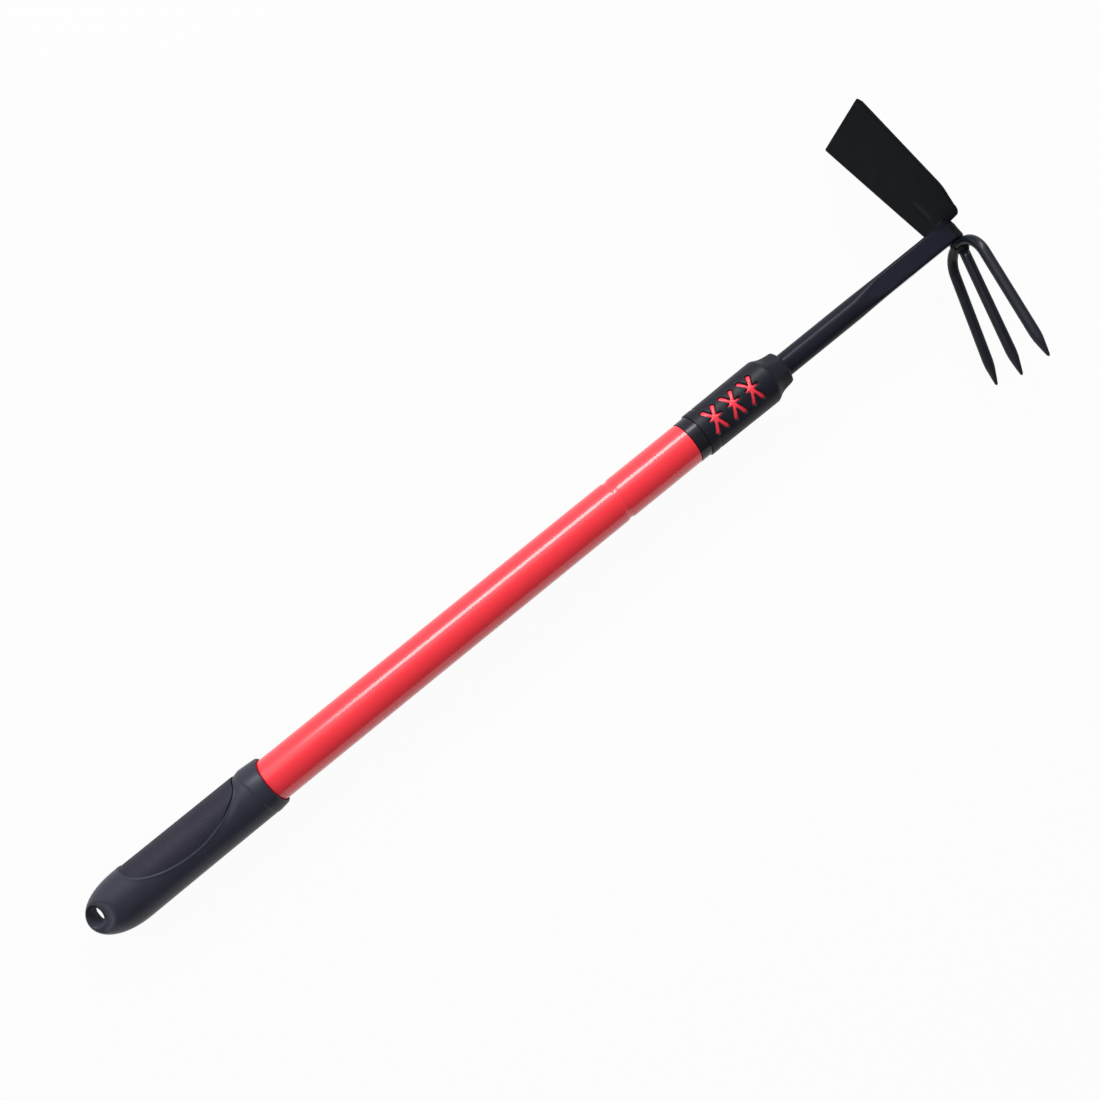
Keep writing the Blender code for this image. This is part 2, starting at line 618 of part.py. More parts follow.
def nut_sleeve(parent):
    """The black rubber sleeve over the core, with soft flats on its nose."""
    shoulder = nut_length - NOSE_LENGTH
    flat_turn = math.tau / NOSE_FLATS

    def flattened(x, radius, angle):
        off = (angle + flat_turn / 2) % flat_turn - flat_turn / 2
        depth = min(1.0, max(0.0, (x - shoulder) / (0.3 * NOSE_LENGTH)))
        drop = radius * (1.0 - math.cos(flat_turn / 2) / math.cos(off))
        return radius - depth * max(0.0, drop)

    rings = [ring_points(SEGMENTS, lambda a, x=x: x, lambda a, x=x, r=r: flattened(x, r, a))
             for x, r in sleeve_outside()]
    lip = nut_length - SLEEVE_LIP
    nose_end = lip - WIPER_LENGTH - GAP
    inside = [(nut_length, nose_bore_r), (lip, nose_bore_r), (lip, nose_inner_r),
              (nose_end, nose_inner_r), (shoulder, sleeve_inner_r), (SLEEVE_LIP, sleeve_inner_r),
              (SLEEVE_LIP, nut_bore_r), (0.0, nut_bore_r)]
    rings += [ring_points(SEGMENTS, lambda a, x=x: x, lambda a, r=r: r) for x, r in inside]
    sleeve = skinned("nut_sleeve", rings, parent, nut_rear - frame_at["nut"],
                     material("sleeve_rubber", (0.018, 0.018, 0.024), 0.55), joined=True)
    for row in range(CROSS_ROWS):
        combine(sleeve, cross_prisms(f"cross_windows_{row}", parent, GAP, row), "DIFFERENCE")
    return sleeve


def wiper_ring(parent):
    """The soft ring that the nose holds against the inner tube."""
    rear = nut_front - SLEEVE_LIP - GAP - WIPER_LENGTH
    bevel = WIPER_WALL / 3
    profile = [(0.0, neck_bore_r + bevel), (0.0, wiper_r), (WIPER_LENGTH, wiper_r),
               (WIPER_LENGTH, neck_bore_r), (WIPER_LENGTH / 2, neck_bore_r)]
    return turned("wiper_ring", profile, parent, rear - frame_at["nut"],
                  material("wiper_rubber", (0.015, 0.015, 0.018), 0.7), SMALL_SEGMENTS)


def neck_ring(x, inset):
    """A ring of the inner tube: round, then pressed to a rounded rectangle towards the head."""
    pressed = min(1.0, max(0.0, (x - pressed_start) / PRESS_RAMP))
    pressed = pressed * pressed * (3 - 2 * pressed)
    corner = max(PRESSED_CORNER - inset, PRESSED_CORNER / 3)
    core_y = pressed_y - inset - corner
    core_z = pressed_z - inset - corner
    points = []
    for a in around(SMALL_SEGMENTS):
        round_y = (neck_r - inset) * math.cos(a)
        round_z = (neck_r - inset) * math.sin(a)
        box_y, box_z = rounded_box(a, core_y, core_z, corner)
        points.append((x, round_y + (box_y - round_y) * pressed, round_z + (box_z - round_z) * pressed))
    return points


def rounded_box(angle, core_y, core_z, corner):
    """Where a ray at this angle leaves a rectangle with round corners."""
    ray = Vector((math.cos(angle), math.sin(angle)))
    near, far = 0.0, 2 * (core_y + core_z + corner)
    for _ in range(40):
        middle = (near + far) / 2
        out_y = max(0.0, abs(ray.x) * middle - core_y)
        out_z = max(0.0, abs(ray.y) * middle - core_z)
        if math.hypot(out_y, out_z) > corner:
            far = middle
        else:
            near = middle
    return ray.x * near, ray.y * near


def inner_tube(parent):
    """The black tube, from its guide bush to its pressed end."""
    ramp = [pressed_start + PRESS_RAMP * share for share in (0.0, 0.25, 0.5, 0.75, 1.0)]
    stations = [neck_rear] + ramp + [neck_front]
    outside = [neck_ring(x, 0.0) for x in stations]
    inside = [neck_ring(x, NECK_WALL) for x in reversed(stations)]
    rings = [[(x - frame_at["slide"], y, z) for x, y, z in ring] for ring in outside + inside]
    tube = skinned("inner_tube", rings, parent,
                   mat=material("black_paint", (0.015, 0.016, 0.022), 0.33), joined=True)
    combine(tube, cross_pin("tube_pin_hole", parent, GAP), "DIFFERENCE")
    return tube


def cross_pin(name, parent, margin, mat=None):
    """A pin across the guide bush and the inner tube, or with a margin the hole for it."""
    radius = PIN_DIAMETER / 2 + margin
    half = sliding_r - BUSH_RELIEF - GAP + (2 * BUSH_RELIEF if margin else 0.0)
    centre = pin_at - frame_at["slide"]
    rings = [[(centre + radius * math.cos(a), half * side, radius * math.sin(a))
              for a in around(ROD_SEGMENTS * 2)] for side in (-1.0, 1.0)]
    return skinned(name, rings, parent, mat=mat)


def guide_bush(parent):
    """The bush that guides the inner tube's rear end and stops it at full extension."""
    relief_r = sliding_r - BUSH_RELIEF
    profile = [(0.0, sliding_r), (BUSH_LAND, sliding_r), (BUSH_LAND + BUSH_RELIEF, relief_r),
               (BUSH_LENGTH - BUSH_LAND - BUSH_RELIEF, relief_r), (BUSH_LENGTH - BUSH_LAND, sliding_r),
               (BUSH_LENGTH, sliding_r), (BUSH_LENGTH, neck_bore_r), (BUSH_LIP, neck_bore_r),
               (BUSH_LIP, neck_r - NECK_WALL), (0.0, neck_r - NECK_WALL)]
    bush = turned("guide_bush", profile, parent, bush_rear - frame_at["slide"],
                  material("bush_plastic", (0.30, 0.30, 0.29), 0.45), SMALL_SEGMENTS)
    combine(bush, cross_pin("bush_pin_hole", parent, GAP), "DIFFERENCE")
    return bush


def blade_spot(along, depth):
    """A point of the blade's middle line. The tab stays square to the handle and the rest leans
    back. Depth runs from the blade's back to its front."""
    lift = max(0.0, along)
    x = tab_rear - frame_at["slide"] + depth - lift * math.sin(BLADE_LEAN)
    y = BLADE_ROOT_AT + along - lift * (1.0 - math.cos(BLADE_LEAN))
    return x, y


def blade(parent):
    """The hoe blade: a tab on the tube's end face, round root corners and a bevelled edge."""
    root = BLADE_ROOT_WIDTH / 2
    mid = BLADE_MID_WIDTH / 2
    edge = BLADE_EDGE_WIDTH / 2
    corner = BLADE_ROOT_CORNER
    full = BLADE_THICKNESS
    widths = [(-BLADE_ROOT_AT - pressed_y, pressed_z, full), (-GAP, pressed_z, full)]
    for degrees in (0.0, 25.0, 50.0, 75.0):
        turn = math.radians(degrees)
        widths.append((corner * (1.0 - math.cos(turn)), root - corner * (1.0 - math.sin(turn)), full))
    slope = (edge - mid) / (BLADE_LENGTH - BLADE_MID_AT)
    bevel_start = BLADE_LENGTH - BLADE_BEVEL
    widths += [(BLADE_MID_AT, mid, full), (bevel_start, edge - slope * BLADE_BEVEL, full),
               (BLADE_LENGTH, edge, BLADE_EDGE_THICKNESS)]
    rings = []
    for along, half, thickness in widths:
        back_x, back_y = blade_spot(along, 0.0)
        front_x, front_y = blade_spot(along, thickness)
        rings.append([(back_x, back_y, -half), (back_x, back_y, half),
                      (front_x, front_y, half), (front_x, front_y, -half)])
    return skinned("blade", rings, parent, mat=material("blade_paint", (0.012, 0.013, 0.015), 0.5))


def rod_ring(along, across, heading, half_width, half_depth):
    """A ring of a rod in the fork's plane, square to its heading."""
    side_l, side_w = -math.sin(heading), math.cos(heading)
    points = []
    for a in around(ROD_SEGMENTS):
        shift = half_width * math.cos(a)
        points.append((half_depth * math.sin(a), -(along + shift * side_l), across + shift * side_w))
    return points


def point_stations(length):
    """Distance from the tip and half widths of a rod's flattened point, from the tip inwards."""
    blunt = 0.12
    return [(0.0, blunt, blunt), (0.3 * length, 0.42, 0.34), (0.8 * length, 0.98, 0.72),
            (length, 1.0, 0.95), (1.3 * length, 1.0, 1.0)]


def outer_tines(parent):
    """One rod bent to a fork: the crown under the tube's end and the two outer tines."""
    bend = math.pi / 2 - TINE_SPLAY
    half = []
    across_end = CROWN_HALF + TINE_BEND * math.sin(bend)
    along_end = TINE_BEND * (1.0 - math.cos(bend))
    for distance, wide, deep in point_stations(POINT_LENGTH):
        along = TINE_LENGTH - distance
        across = across_end + (along - along_end) * math.tan(TINE_SPLAY)
        half.append((along, across, TINE_SPLAY, wide * rod_r, deep * rod_r))
    bend_steps = 7
    for i in range(bend_steps, -1, -1):
        turn = bend * i / bend_steps
        half.append((TINE_BEND * (1.0 - math.cos(turn)), CROWN_HALF + TINE_BEND * math.sin(turn),
                     math.pi / 2 - turn, rod_r, rod_r))
    upper = [rod_ring(along, across, heading, wide, deep) for along, across, heading, wide, deep in half]
    lower = [rod_ring(along, -across, math.pi - heading, wide, deep)
             for along, across, heading, wide, deep in reversed(half)]
    return skinned("outer_tines", upper + lower, parent,
                   mat=material("tine_paint", (0.016, 0.017, 0.022), 0.35))


def middle_tine(parent):
    """The straight tine, butted against the crown."""
    rings = []
    root_r = MIDDLE_TINE_ROOT / 2
    for distance, wide, deep in point_stations(POINT_LENGTH):
        rings.append(rod_ring(MIDDLE_TINE_LENGTH - distance, 0.0, 0.0, wide * rod_r, deep * rod_r))
    rings.append(rod_ring(rod_r + GAP, 0.0, 0.0, root_r, root_r))
    return skinned("middle_tine", rings, parent,
                   mat=material("middle_tine_paint", (0.016, 0.018, 0.022), 0.4))


def bead(name, parent, section, start, end, across):
    """A weld bead: a section swept along a straight run, rippled and drawn in at its ends.
    The function across turns a section's point and a place on the run into a point in space."""
    steps = 8
    heel = Vector(section[0])
    rings = []
    for i in range(steps + 1):
        share = i / steps
        ends = 1.0 if 0 < i < steps else 0.6
        size = ends * (1.0 - WELD_RIPPLE + WELD_RIPPLE * math.cos(math.tau * steps / 2 * share))
        place_on_run = start + (end - start) * share
        shrunk = [heel + (Vector(point) - heel) * size for point in section]
        rings.append([across(point, place_on_run) for point in shrunk])
    return skinned(name, rings, parent,
                   mat=material(name + "_paint", (0.020, 0.022, 0.022), 0.55))


def blade_weld(parent):
    """The fillet between the inner tube's side and the blade's back."""
    foot = pressed_y + GAP
    top = foot + WELD_LEG
    near_x = blade_spot(foot - BLADE_ROOT_AT, -GAP)[0]
    top_x = blade_spot(top - BLADE_ROOT_AT, -GAP)[0]
    section = [(near_x, foot), (near_x - WELD_LEG, foot),
               (near_x - 0.45 * WELD_LEG, foot + 0.55 * WELD_LEG), (top_x, top)]
    reach = pressed_z - PRESSED_CORNER
    return bead("blade_weld", parent, section, -reach, reach, lambda p, z: (p.x, p.y, z))


def end_weld(parent, side):
    """The bead over the seam between the tube's end and the tab."""
    rear = tab_rear - WELD_ON_TUBE - frame_at["slide"]
    front = tab_rear + WELD_ON_TAB - frame_at["slide"]
    foot = pressed_z + GAP
    length = front - rear
    section = [(rear, foot), (front, foot), (front - 0.12 * length, foot + 0.6 * WELD_HEIGHT),
               (front - 0.35 * length, foot + WELD_HEIGHT), (rear + 0.35 * length, foot + WELD_HEIGHT),
               (rear + 0.12 * length, foot + 0.6 * WELD_HEIGHT)]
    start = -pressed_y + WELD_END
    end = BLADE_ROOT_AT - GAP - WELD_END
    return bead("end_weld_upper" if side > 0 else "end_weld_lower", parent, section, start, end,
                lambda p, y: (p.x, y, side * p.y))


def crown_weld(parent):
    """The fillet between the inner tube's lower side and the back of the fork's crown."""
    centre = crown_x - frame_at["slide"]
    shell = rod_r + 1.5 * GAP
    foot = -(pressed_y + GAP)

    def rod_side(y):
        return centre - math.sqrt(shell ** 2 - (y - crown_y) ** 2)

    low = foot - 0.85 * WELD_LEG
    middle = (foot + low) / 2
    heel_x = rod_side(foot)
    section = [(heel_x, foot), (rod_side(middle), middle), (rod_side(low), low),
               (heel_x - 0.95 * WELD_LEG, foot - 0.6 * WELD_LEG), (heel_x - 1.1 * WELD_LEG, foot)]
    reach = pressed_z - WELD_END
    return bead("crown_weld", parent, section, -reach, reach, lambda p, z: (p.x, p.y, z))


def middle_tine_weld(parent):
    """The bead round the middle tine's root."""
    inner = MIDDLE_TINE_ROOT / 2 + 2 * GAP
    start = rod_r + GAP
    width = 0.5 * WELD_LEG
    rings = []
    for along, r in ((start, inner), (start, inner + width), (start + 0.5 * WELD_LEG, inner + 0.7 * width),
                     (start + WELD_LEG, inner + 0.15 * width), (start + WELD_LEG, inner)):
        rings.append([(r * math.cos(a), -along, r * math.sin(a)) for a in around(ROD_SEGMENTS * 2)])
    return skinned("middle_tine_weld", rings, parent,
                   mat=material("middle_weld_paint", (0.020, 0.022, 0.022), 0.55), joined=True)


def rest_rotation():
    """Turn the handle frame so that the grip, the blade's lower corner and the lower tine all
    touch one level plane."""
    grip_spot = Vector((BUTT_LENGTH, 0.0, -butt_r))
    edge_x, edge_y = blade_spot(BLADE_LENGTH, 0.0)
    blade_corner = Vector((edge_x + frame_at["slide"], edge_y, -BLADE_EDGE_WIDTH / 2))
    along = TINE_LENGTH - POINT_LENGTH
    bend = math.pi / 2 - TINE_SPLAY
    across = CROWN_HALF + TINE_BEND * math.sin(bend)
    across += (along - TINE_BEND * (1.0 - math.cos(bend))) * math.tan(TINE_SPLAY)
    tine_spot = Vector((crown_x - along * math.sin(FORK_LEAN), crown_y - along * math.cos(FORK_LEAN),
                        -across - rod_r / math.cos(TINE_SPLAY)))
    up = (blade_corner - grip_spot).cross(grip_spot - tine_spot).normalized()
    if up.z < 0:
        up.negate()
    ahead = Vector((1.0, 0.0, 0.0))
    ahead = (ahead - up * ahead.dot(up)).normalized()
    left = up.cross(ahead)
    return Matrix((ahead, left, up)).to_euler()


def settle(root):
    """Move the handle frame so that the origin is at the middle of the tool's underside."""
    bpy.context.view_layer.update()
    graph = bpy.context.evaluated_depsgraph_get()
    corners = []
    for piece in bpy.data.objects:
        if piece.type == "MESH" and not piece.hide_render:
            solid = piece.evaluated_get(graph)
            corners += [piece.matrix_world @ vertex.co for vertex in solid.data.vertices]
    low = [min(corner[i] for corner in corners) for i in range(3)]
    high = [max(corner[i] for corner in corners) for i in range(3)]
    root.location = (-(low[0] + high[0]) / 2, -(low[1] + high[1]) / 2, -low[2])
    bpy.context.view_layer.update()


def build():
    """Make every piece under the frame that carries it."""
    for piece in list(bpy.data.objects):
        bpy.data.objects.remove(piece, do_unlink=True)
    root = empty("handle_frame", None)
    root.rotation_euler = rest_rotation()
    grip_sleeve(root)
    pad_shape("grip_pad", root, pad_inner_r, pad_outer_r, 0.0,
              material("pad_rubber", (0.024, 0.023, 0.030), 0.7))
    tube_plug(root)
    outer_tube(root)
    lock_body(root)

    clamp_frame = empty("clamp_slide_frame", root, (frame_at["clamp"], 0.0, 0.0))
    clamp_ring(clamp_frame)
    nut_frame = empty("lock_twist_frame", clamp_frame, (frame_at["nut"] - frame_at["clamp"], 0.0, 0.0))
    lock_nut(nut_frame)
    nut_sleeve(nut_frame)
    wiper_ring(nut_frame)

    slide_frame = empty("telescope_frame", root, (frame_at["slide"], 0.0, 0.0))
    inner_tube(slide_frame)
    guide_bush(slide_frame)
    cross_pin("bush_pin", slide_frame, 0.0, material("pin_steel", (0.45, 0.45, 0.45), 0.3, 1.0))
    blade(slide_frame)
    blade_weld(slide_frame)
    end_weld(slide_frame, 1.0)
    end_weld(slide_frame, -1.0)
    crown_weld(slide_frame)
    fork_frame = empty("fork_frame", slide_frame, (crown_x - frame_at["slide"], crown_y, 0.0), -FORK_LEAN)
    outer_tines(fork_frame)
    middle_tine(fork_frame)
    middle_tine_weld(fork_frame)
    settle(root)


build()
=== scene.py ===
import json
from contextlib import contextmanager
from math import cos, hypot, pi, radians, sin, sqrt, tan, tau

import bmesh
import bpy
import numpy as np
from mathutils import Matrix, Vector


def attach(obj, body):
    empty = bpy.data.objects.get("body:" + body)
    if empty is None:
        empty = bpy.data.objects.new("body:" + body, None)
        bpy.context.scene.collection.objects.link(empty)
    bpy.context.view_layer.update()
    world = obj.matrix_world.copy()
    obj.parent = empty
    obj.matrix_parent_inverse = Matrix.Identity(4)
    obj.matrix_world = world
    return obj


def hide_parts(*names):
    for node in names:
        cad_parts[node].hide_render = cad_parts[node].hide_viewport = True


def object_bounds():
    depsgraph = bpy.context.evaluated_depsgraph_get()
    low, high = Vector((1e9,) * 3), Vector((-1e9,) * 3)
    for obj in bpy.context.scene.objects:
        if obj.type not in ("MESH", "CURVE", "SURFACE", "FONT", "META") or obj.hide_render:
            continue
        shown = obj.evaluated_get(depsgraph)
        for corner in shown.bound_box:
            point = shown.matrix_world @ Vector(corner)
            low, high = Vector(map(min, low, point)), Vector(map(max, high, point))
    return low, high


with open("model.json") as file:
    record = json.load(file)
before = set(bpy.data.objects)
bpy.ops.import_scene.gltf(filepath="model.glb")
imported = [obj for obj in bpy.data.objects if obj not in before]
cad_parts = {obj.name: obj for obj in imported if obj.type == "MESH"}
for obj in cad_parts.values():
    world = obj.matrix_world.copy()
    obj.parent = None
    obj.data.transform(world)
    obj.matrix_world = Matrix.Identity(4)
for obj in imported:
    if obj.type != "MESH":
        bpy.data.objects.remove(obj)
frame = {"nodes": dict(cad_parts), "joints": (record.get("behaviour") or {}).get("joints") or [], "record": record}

# The pieces are made in the handle's own frame: x runs from the butt's tip to the head, y to the
# blade's side and z up, off the ground. Lengths are in metres, and angles about the handle start
# at +y and go over +z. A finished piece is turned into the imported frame.

cad_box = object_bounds()
joints = {joint["name"]: joint for joint in frame["joints"]}
mounts = {mount["name"]: mount for mount in frame["record"]["mounts"]}

ahead = Vector(joints["lock_twist"]["axis"]).normalized()
upward = Vector(mounts["hang_pad_upper"]["axis"])
upward = (upward - ahead * upward.dot(ahead)).normalized()
sideways = upward.cross(ahead)
nut_spot = Vector(joints["lock_twist"]["pos_m"])
grip_points = [vertex.co for vertex in frame["nodes"]["grip_sleeve"].data.vertices]
nut_rear = max((nut_spot - point).dot(ahead) for point in grip_points)
handle_place = Matrix((ahead, sideways, upward)).transposed().to_4x4()
handle_place.translation = nut_spot - ahead * nut_rear
to_handle = handle_place.inverted()


def span(node):
    """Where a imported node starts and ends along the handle, and how far it reaches up."""
    spots = np.array([to_handle @ vertex.co for vertex in frame["nodes"][node].data.vertices])
    return spots[:, 0].min(), spots[:, 0].max(), spots[:, 2].max()


# Sizes from the frame
_, grip_length, butt_r = span("grip_sleeve")
tube_rear, tube_front, tube_r = span("outer_tube")
body_rear, body_front, flange_r = span("lock_body")
core_rear, core_front, _ = span("lock_nut")
_, nut_front, sleeve_r = span("nut_sleeve")
neck_rear, neck_front, neck_r = span("inner_tube")

# Fits and edges
GAP = 0.0003
EDGE_ROUNDING = 0.0003  # of the tubes' ends and the nut's rim
TOUCH = 0.3 * GAP  # gap between a weld and what it joins

# Grip
GRIP_THINNER = 0.0004  # the grip is this much thinner behind its collar than at the butt
BUTT_LENGTH = 0.026
BUTT_FULLNESS = 2.2  # power of the butt's outline
BUTT_SKEW = 0.0007  # the butt's tip lies this far towards the pad
COLLAR_SHORT = 0.0067
COLLAR_LONG = 0.0135  # collar length on the side of the pad
COLLAR_STEP = 0.0005
COLLAR_STEP_SHARES = (0.35, 1.6)  # on the far side and on the pad's, where it stays at 1
COLLAR_DRAFT = 0.0009
COLLAR_EDGE = 0.0011
MOUTH_ROUNDING = 0.0007
HOLE_CENTRE = (0.0068, 0.0025)  # from the tip, and towards the pad
HOLE_HALF = (0.0039, 0.0049)
HOLE_WEB = 0.015
HOLE_FULLNESS = 2.6  # power of the hole's outline, a little squarer than an oval
HOLE_ROUNDING = 0.0008
DISH_CENTRE = (0.0066, 0.0004)
DISH_HALF = (0.0044, 0.007)
DISH_SLOPE = 0.9
DISH_SOFTNESS = 0.0018  # how softly the dish runs out into the butt
TIP_BAND = 0.002  # half height of the band at the tip that the hole and dish spare

# Grid of the grip
GRIP_STEP = 0.00028  # pitch at the butt and the collar
GRIP_RUNS = ((0.017, 0.0006), (0.028, 0.00022), (0.033, 0.0008), (0.092, GRIP_STEP))
TIP_TURNS = 1.5 * np.arange(1, 14)
PAD_SIDE = 127.0  # degrees to each side over which the grid is fine
PAD_SIDE_STEP = 1.2
FAR_SIDE_STEP = 4.0
SNAP = 0.00022  # points this near the hang hole's outline move onto it

# Pad let into the grip
PAD_START = 0.028
PAD_REAR = 0.039  # from its rear end to its widest place
PAD_TO_COLLAR = 0.0014
PAD_CUT = 0.0069  # how far past its cut front end the pad's outline would close
PAD_CORNER = 0.0035  # rounding of the corners of its cut front end
PAD_WRAP = radians(108.5)
PAD_REAR_FULLNESS = 2.4
PAD_FRONT_FULLNESS = 1.8
PAD_RECESS = 0.0001
PAD_THICKNESS = 0.0007
PAD_EDGE = 0.0005
PAD_INSET = 0.00012
PAD_COLUMNS = 73
PAD_CROWDING = 0.65  # how far its columns crowd towards its sides
POCKET_INSET = 0.0006  # how far the grip's skin closes over the pad's rounded edge
POCKET_TUCK = 0.00006  # how far the skin dips under the pad's surface there
LIP_AT = 0.0004  # distance of the lip's crest from the pad
LIP_WIDTH = 0.0005
LIP_RISE = 0.0003
SCOOP_WIDTH = 0.005
SCOOP_DEPTH = 0.001
SCOOP_START = 0.081
SCOOP_FULL = 0.094
RIB_PITCH = 0.00115
RIB_HEIGHT = 0.00008
RIB_FADE = (0.0008, 0.0016)  # distances from the edge over which the ribs rise

pad_front = grip_length - COLLAR_LONG - PAD_TO_COLLAR
skin_r = butt_r - GRIP_THINNER

# Red tube
TUBE_WALL = 0.001
BEAD_FROM_END = 0.05
BEAD_WIDTH = 0.0056
BEAD_DEPTH = 0.0006

bead_x = tube_front - BEAD_FROM_END

# Lock body
FLANGE_LENGTH = 0.0067
FLANGE_ROUNDING = 0.00015
RING_GAP = 0.00006  # between the flange and the nut's rim
THREAD_DEPTH = 0.0008
THREAD_PITCH = 0.004
THREAD_LEAD = 0.0015
THREAD_TURNS = 3.0
THREAD_FOOT = 0.0013
THREAD_CREST = 0.0007
THREAD_GAP = 0.00035
LOCK_WALL = 0.00275
SEAT_LENGTH = 0.003
SEAT_RISE = 0.0017

nut_bore_r = neck_r + GAP + LOCK_WALL + THREAD_DEPTH + THREAD_GAP

# Nut
RIM_LENGTH = 0.0062
RIM_GROOVE = 0.0003
RIM_GROOVE_WIDTH = 0.0007
SLEEVE_SWELL = 0.0003
SLEEVE_WALL = 0.001
SLEEVE_END_WALL = 0.0012
SLEEVE_STEP = 0.0004  # grid pitch away from the openings, and rounding of the nose's mouth
NOSE_LENGTH = 0.013
NOSE_MOUTH_WALL = 0.0029
NOSE_SEAT = 0.0018
NOSE_FLATS = 8
FLATS_RISE = (0.02, 0.45)  # shares of the nose's length over which the flats come in
FLATS_SHARE = 0.6
NOSE_TAPER = ((0.0, 0.0), (0.06, 0.03), (0.15, 0.16), (0.25, 0.34), (0.41, 0.54), (0.57, 0.68),
              (0.74, 0.78), (0.9, 0.85), (0.96, 0.9), (1.0, 1.0))
CORE_NOSE_WALL = 0.0016
CORE_CONE = 0.008
CORE_CROWN = 0.00025  # how far the red arms round off towards their edges
CORE_CROWN_WIDTH = 0.0009

shoulder = nut_front - NOSE_LENGTH
mouth_r = neck_r + 2 * GAP

# Openings in the sleeve
CROSS_COUNT = 3
CROSS_PITCH = 0.0128
CROSS_ROWS = 2
CROSS_BACK = 0.0008  # their middle lies this far behind the middle of the sleeve's body
CROSS_ROW_ANGLE = radians(86.0)
CROSS_ROW_HALF = radians(54.0)  # the grid is fine this far round from a row's middle
CROSSES_FROM = 0.0075  # the fine grid starts here, from the nut's rear
CROSS_RECESS = 0.0008
CROSS_MARGIN = 0.00022  # gap between a red arm and the edge of its opening
CROSS_STEP = 0.00024
CROSS_SNAP = 0.62 * CROSS_STEP  # points this near an outline move onto it
CROSS_HOLD = 0.3 * CROSS_STEP  # and count as on it up to here
# Tips of a cross's arms, along the handle and round the nut
LONG_ARMS = ((0.003, -0.0068), (-0.0036, -0.007), (-0.0034, 0.0082), (0.0029, 0.0084))
SHORT_ARMS = ((0.004, 0.0), (-0.0034, 0.0))
LONG_ARM_WIDTHS = (0.0008, 0.00135)  # half widths at the root and at the tip
SHORT_ARM_WIDTHS = (0.0015, 0.00055)
ARM_BLEND = 0.0004
OPENING_EDGE = 0.00022  # how far the sleeve falls away at the edge of an opening
OPENING_EDGE_WIDTH = 0.0003

# Inner tube
NECK_WALL = 0.0012
PRESSED_FROM_END = 0.0536  # where the pressing is complete
PRESS_RAMP = 0.02
PRESS_STEP = 0.0005
PRESSED_CORNER = 0.0019
PRESSED_HALF_Y = 0.00635
PRESSED_HALF_Z = 0.0053

press_start = neck_front - PRESSED_FROM_END - PRESS_RAMP

# Blade
BLADE_LENGTH = 0.0835
BLADE_EDGE_HALF = 0.0277
BLADE_MID_HALF = 0.0229
BLADE_MID_AT = 0.0168
BLADE_ROOT_CORNER = 0.0055
UPPER_ROOT = (0.0184, BLADE_ROOT_CORNER)  # half width and corner at the root edge
LOWER_ROOT = (0.0217, 0.003)
BLADE_TIP_CORNER = 0.0012
BLADE_KINK_BLEND = 0.0012  # how softly the sides turn at the blade's shoulder
BLADE_THICKNESS = 0.0017
BLADE_LEAN = radians(5.2)
BLADE_BEVEL = 0.0035
BLADE_EDGE_THICKNESS = 0.0006
BLADE_EDGE_ROUNDING = 0.00045
BLADE_ROOT_AT = 0.0038
BLADE_INTO_TUBE = 0.0001  # how far the tab's back lies behind the tube's end
TAB_ROUNDING = 0.0002
TAB_LAP = 0.0004
# Start, end and pitch of the blade's even rings: close over the trough, wide beyond it
BLADE_RUNS = ((0.0062, 0.03, 0.0006), (0.0305, 0.078, 0.003))
TROUGH_START = 0.008
TROUGH_END = 0.026
TROUGH_FALL = 0.008
TROUGH_AT = -0.0045
TROUGH_HALF_WIDTH = 0.0022
TROUGH_DEPTH = 0.0004
TROUGH_RISE = (0.0, 0.003)  # places, from its start, over which it sets in
# The blade's painted highlight: a lighter streak along the trough, where its edge catches the light
HIGHLIGHT_STREAK_RISE = (-0.002, 0.004)
HIGHLIGHT_STREAK_HALF_WIDTH = 0.6 * TROUGH_HALF_WIDTH
HIGHLIGHT_STREAK_SHARE = 0.55  # strength of the painted highlight streak along the trough

tab_x = neck_front - BLADE_INTO_TUBE

# Fork
ROD_R = 0.0029
ROD_SIDES = 28
MIDDLE_ROOT_R = 0.0028
TINE_LENGTH = 0.0803
MIDDLE_TINE_LENGTH = 0.0823
MIDDLE_ACROSS = 0.0008  # the middle tine's root lies this far above the crown's middle
MIDDLE_SPLAY = radians(-1.4)
FORK_LEAN = radians(15.9)
CROWN_INSET = 0.0002
CROWN_HALF = 0.003
TINE_BEND = 0.0148
TINE_BEND_STEPS = 18
TINE_SPLAY = radians(8.8)
POINT_LENGTH = 0.011
# A tine's point, forged flat and drawn to a blunt tip: share of the point's length from the tip,
# and half width and half depth there as shares of the rod's radius
POINT_SHAPE = ((0.0, 0.12, 0.1), (0.04, 0.3, 0.24), (0.35, 0.62, 0.42), (0.75, 0.96, 0.64),
               (1.0, 1.01, 0.86), (1.35, 1.0, 1.0))

crown_x = neck_front - CROWN_INSET
crown_y = -(PRESSED_HALF_Y + GAP + ROD_R)

# Welds
WELD_LEG = 0.0018
FILLET_BULGE = 0.0001
CROWN_BULGE = 0.0003
WELD_BULGE = 0.00115  # bulge of the beads over the seam of tube and tab
WELD_ON_TUBE = 0.0016
WELD_OVER_EDGE = 0.001
WELD_DROP = 0.001
BLADE_WELD_INSET = 0.0022  # the bead ends this far inside the tube's side
CROWN_WELD_INSET = 0.0008
SEAM_START = -PRESSED_HALF_Y - 0.0006
SEAM_END = BLADE_ROOT_AT - 0.0004
RIPPLE_DEPTH = 0.07  # share of a bead's size
RIPPLE_DRIFT = 0.03
BEAD_END_SIZE = 0.45
RIPPLE_PITCH = 0.0011
# The bead round the middle tine's root: distance along the tine, and height over it
ROOT_BEAD = ((0.0, 0.0), (0.0, 0.0008), (0.0007, 0.0008), (0.0014, 0.0006), (0.0022, 0.0002),
             (0.0026, 0.0))
ROOT_BEAD_SIDES = 40

SEGMENTS = 96
ROUND = np.arange(SEGMENTS) * tau / SEGMENTS

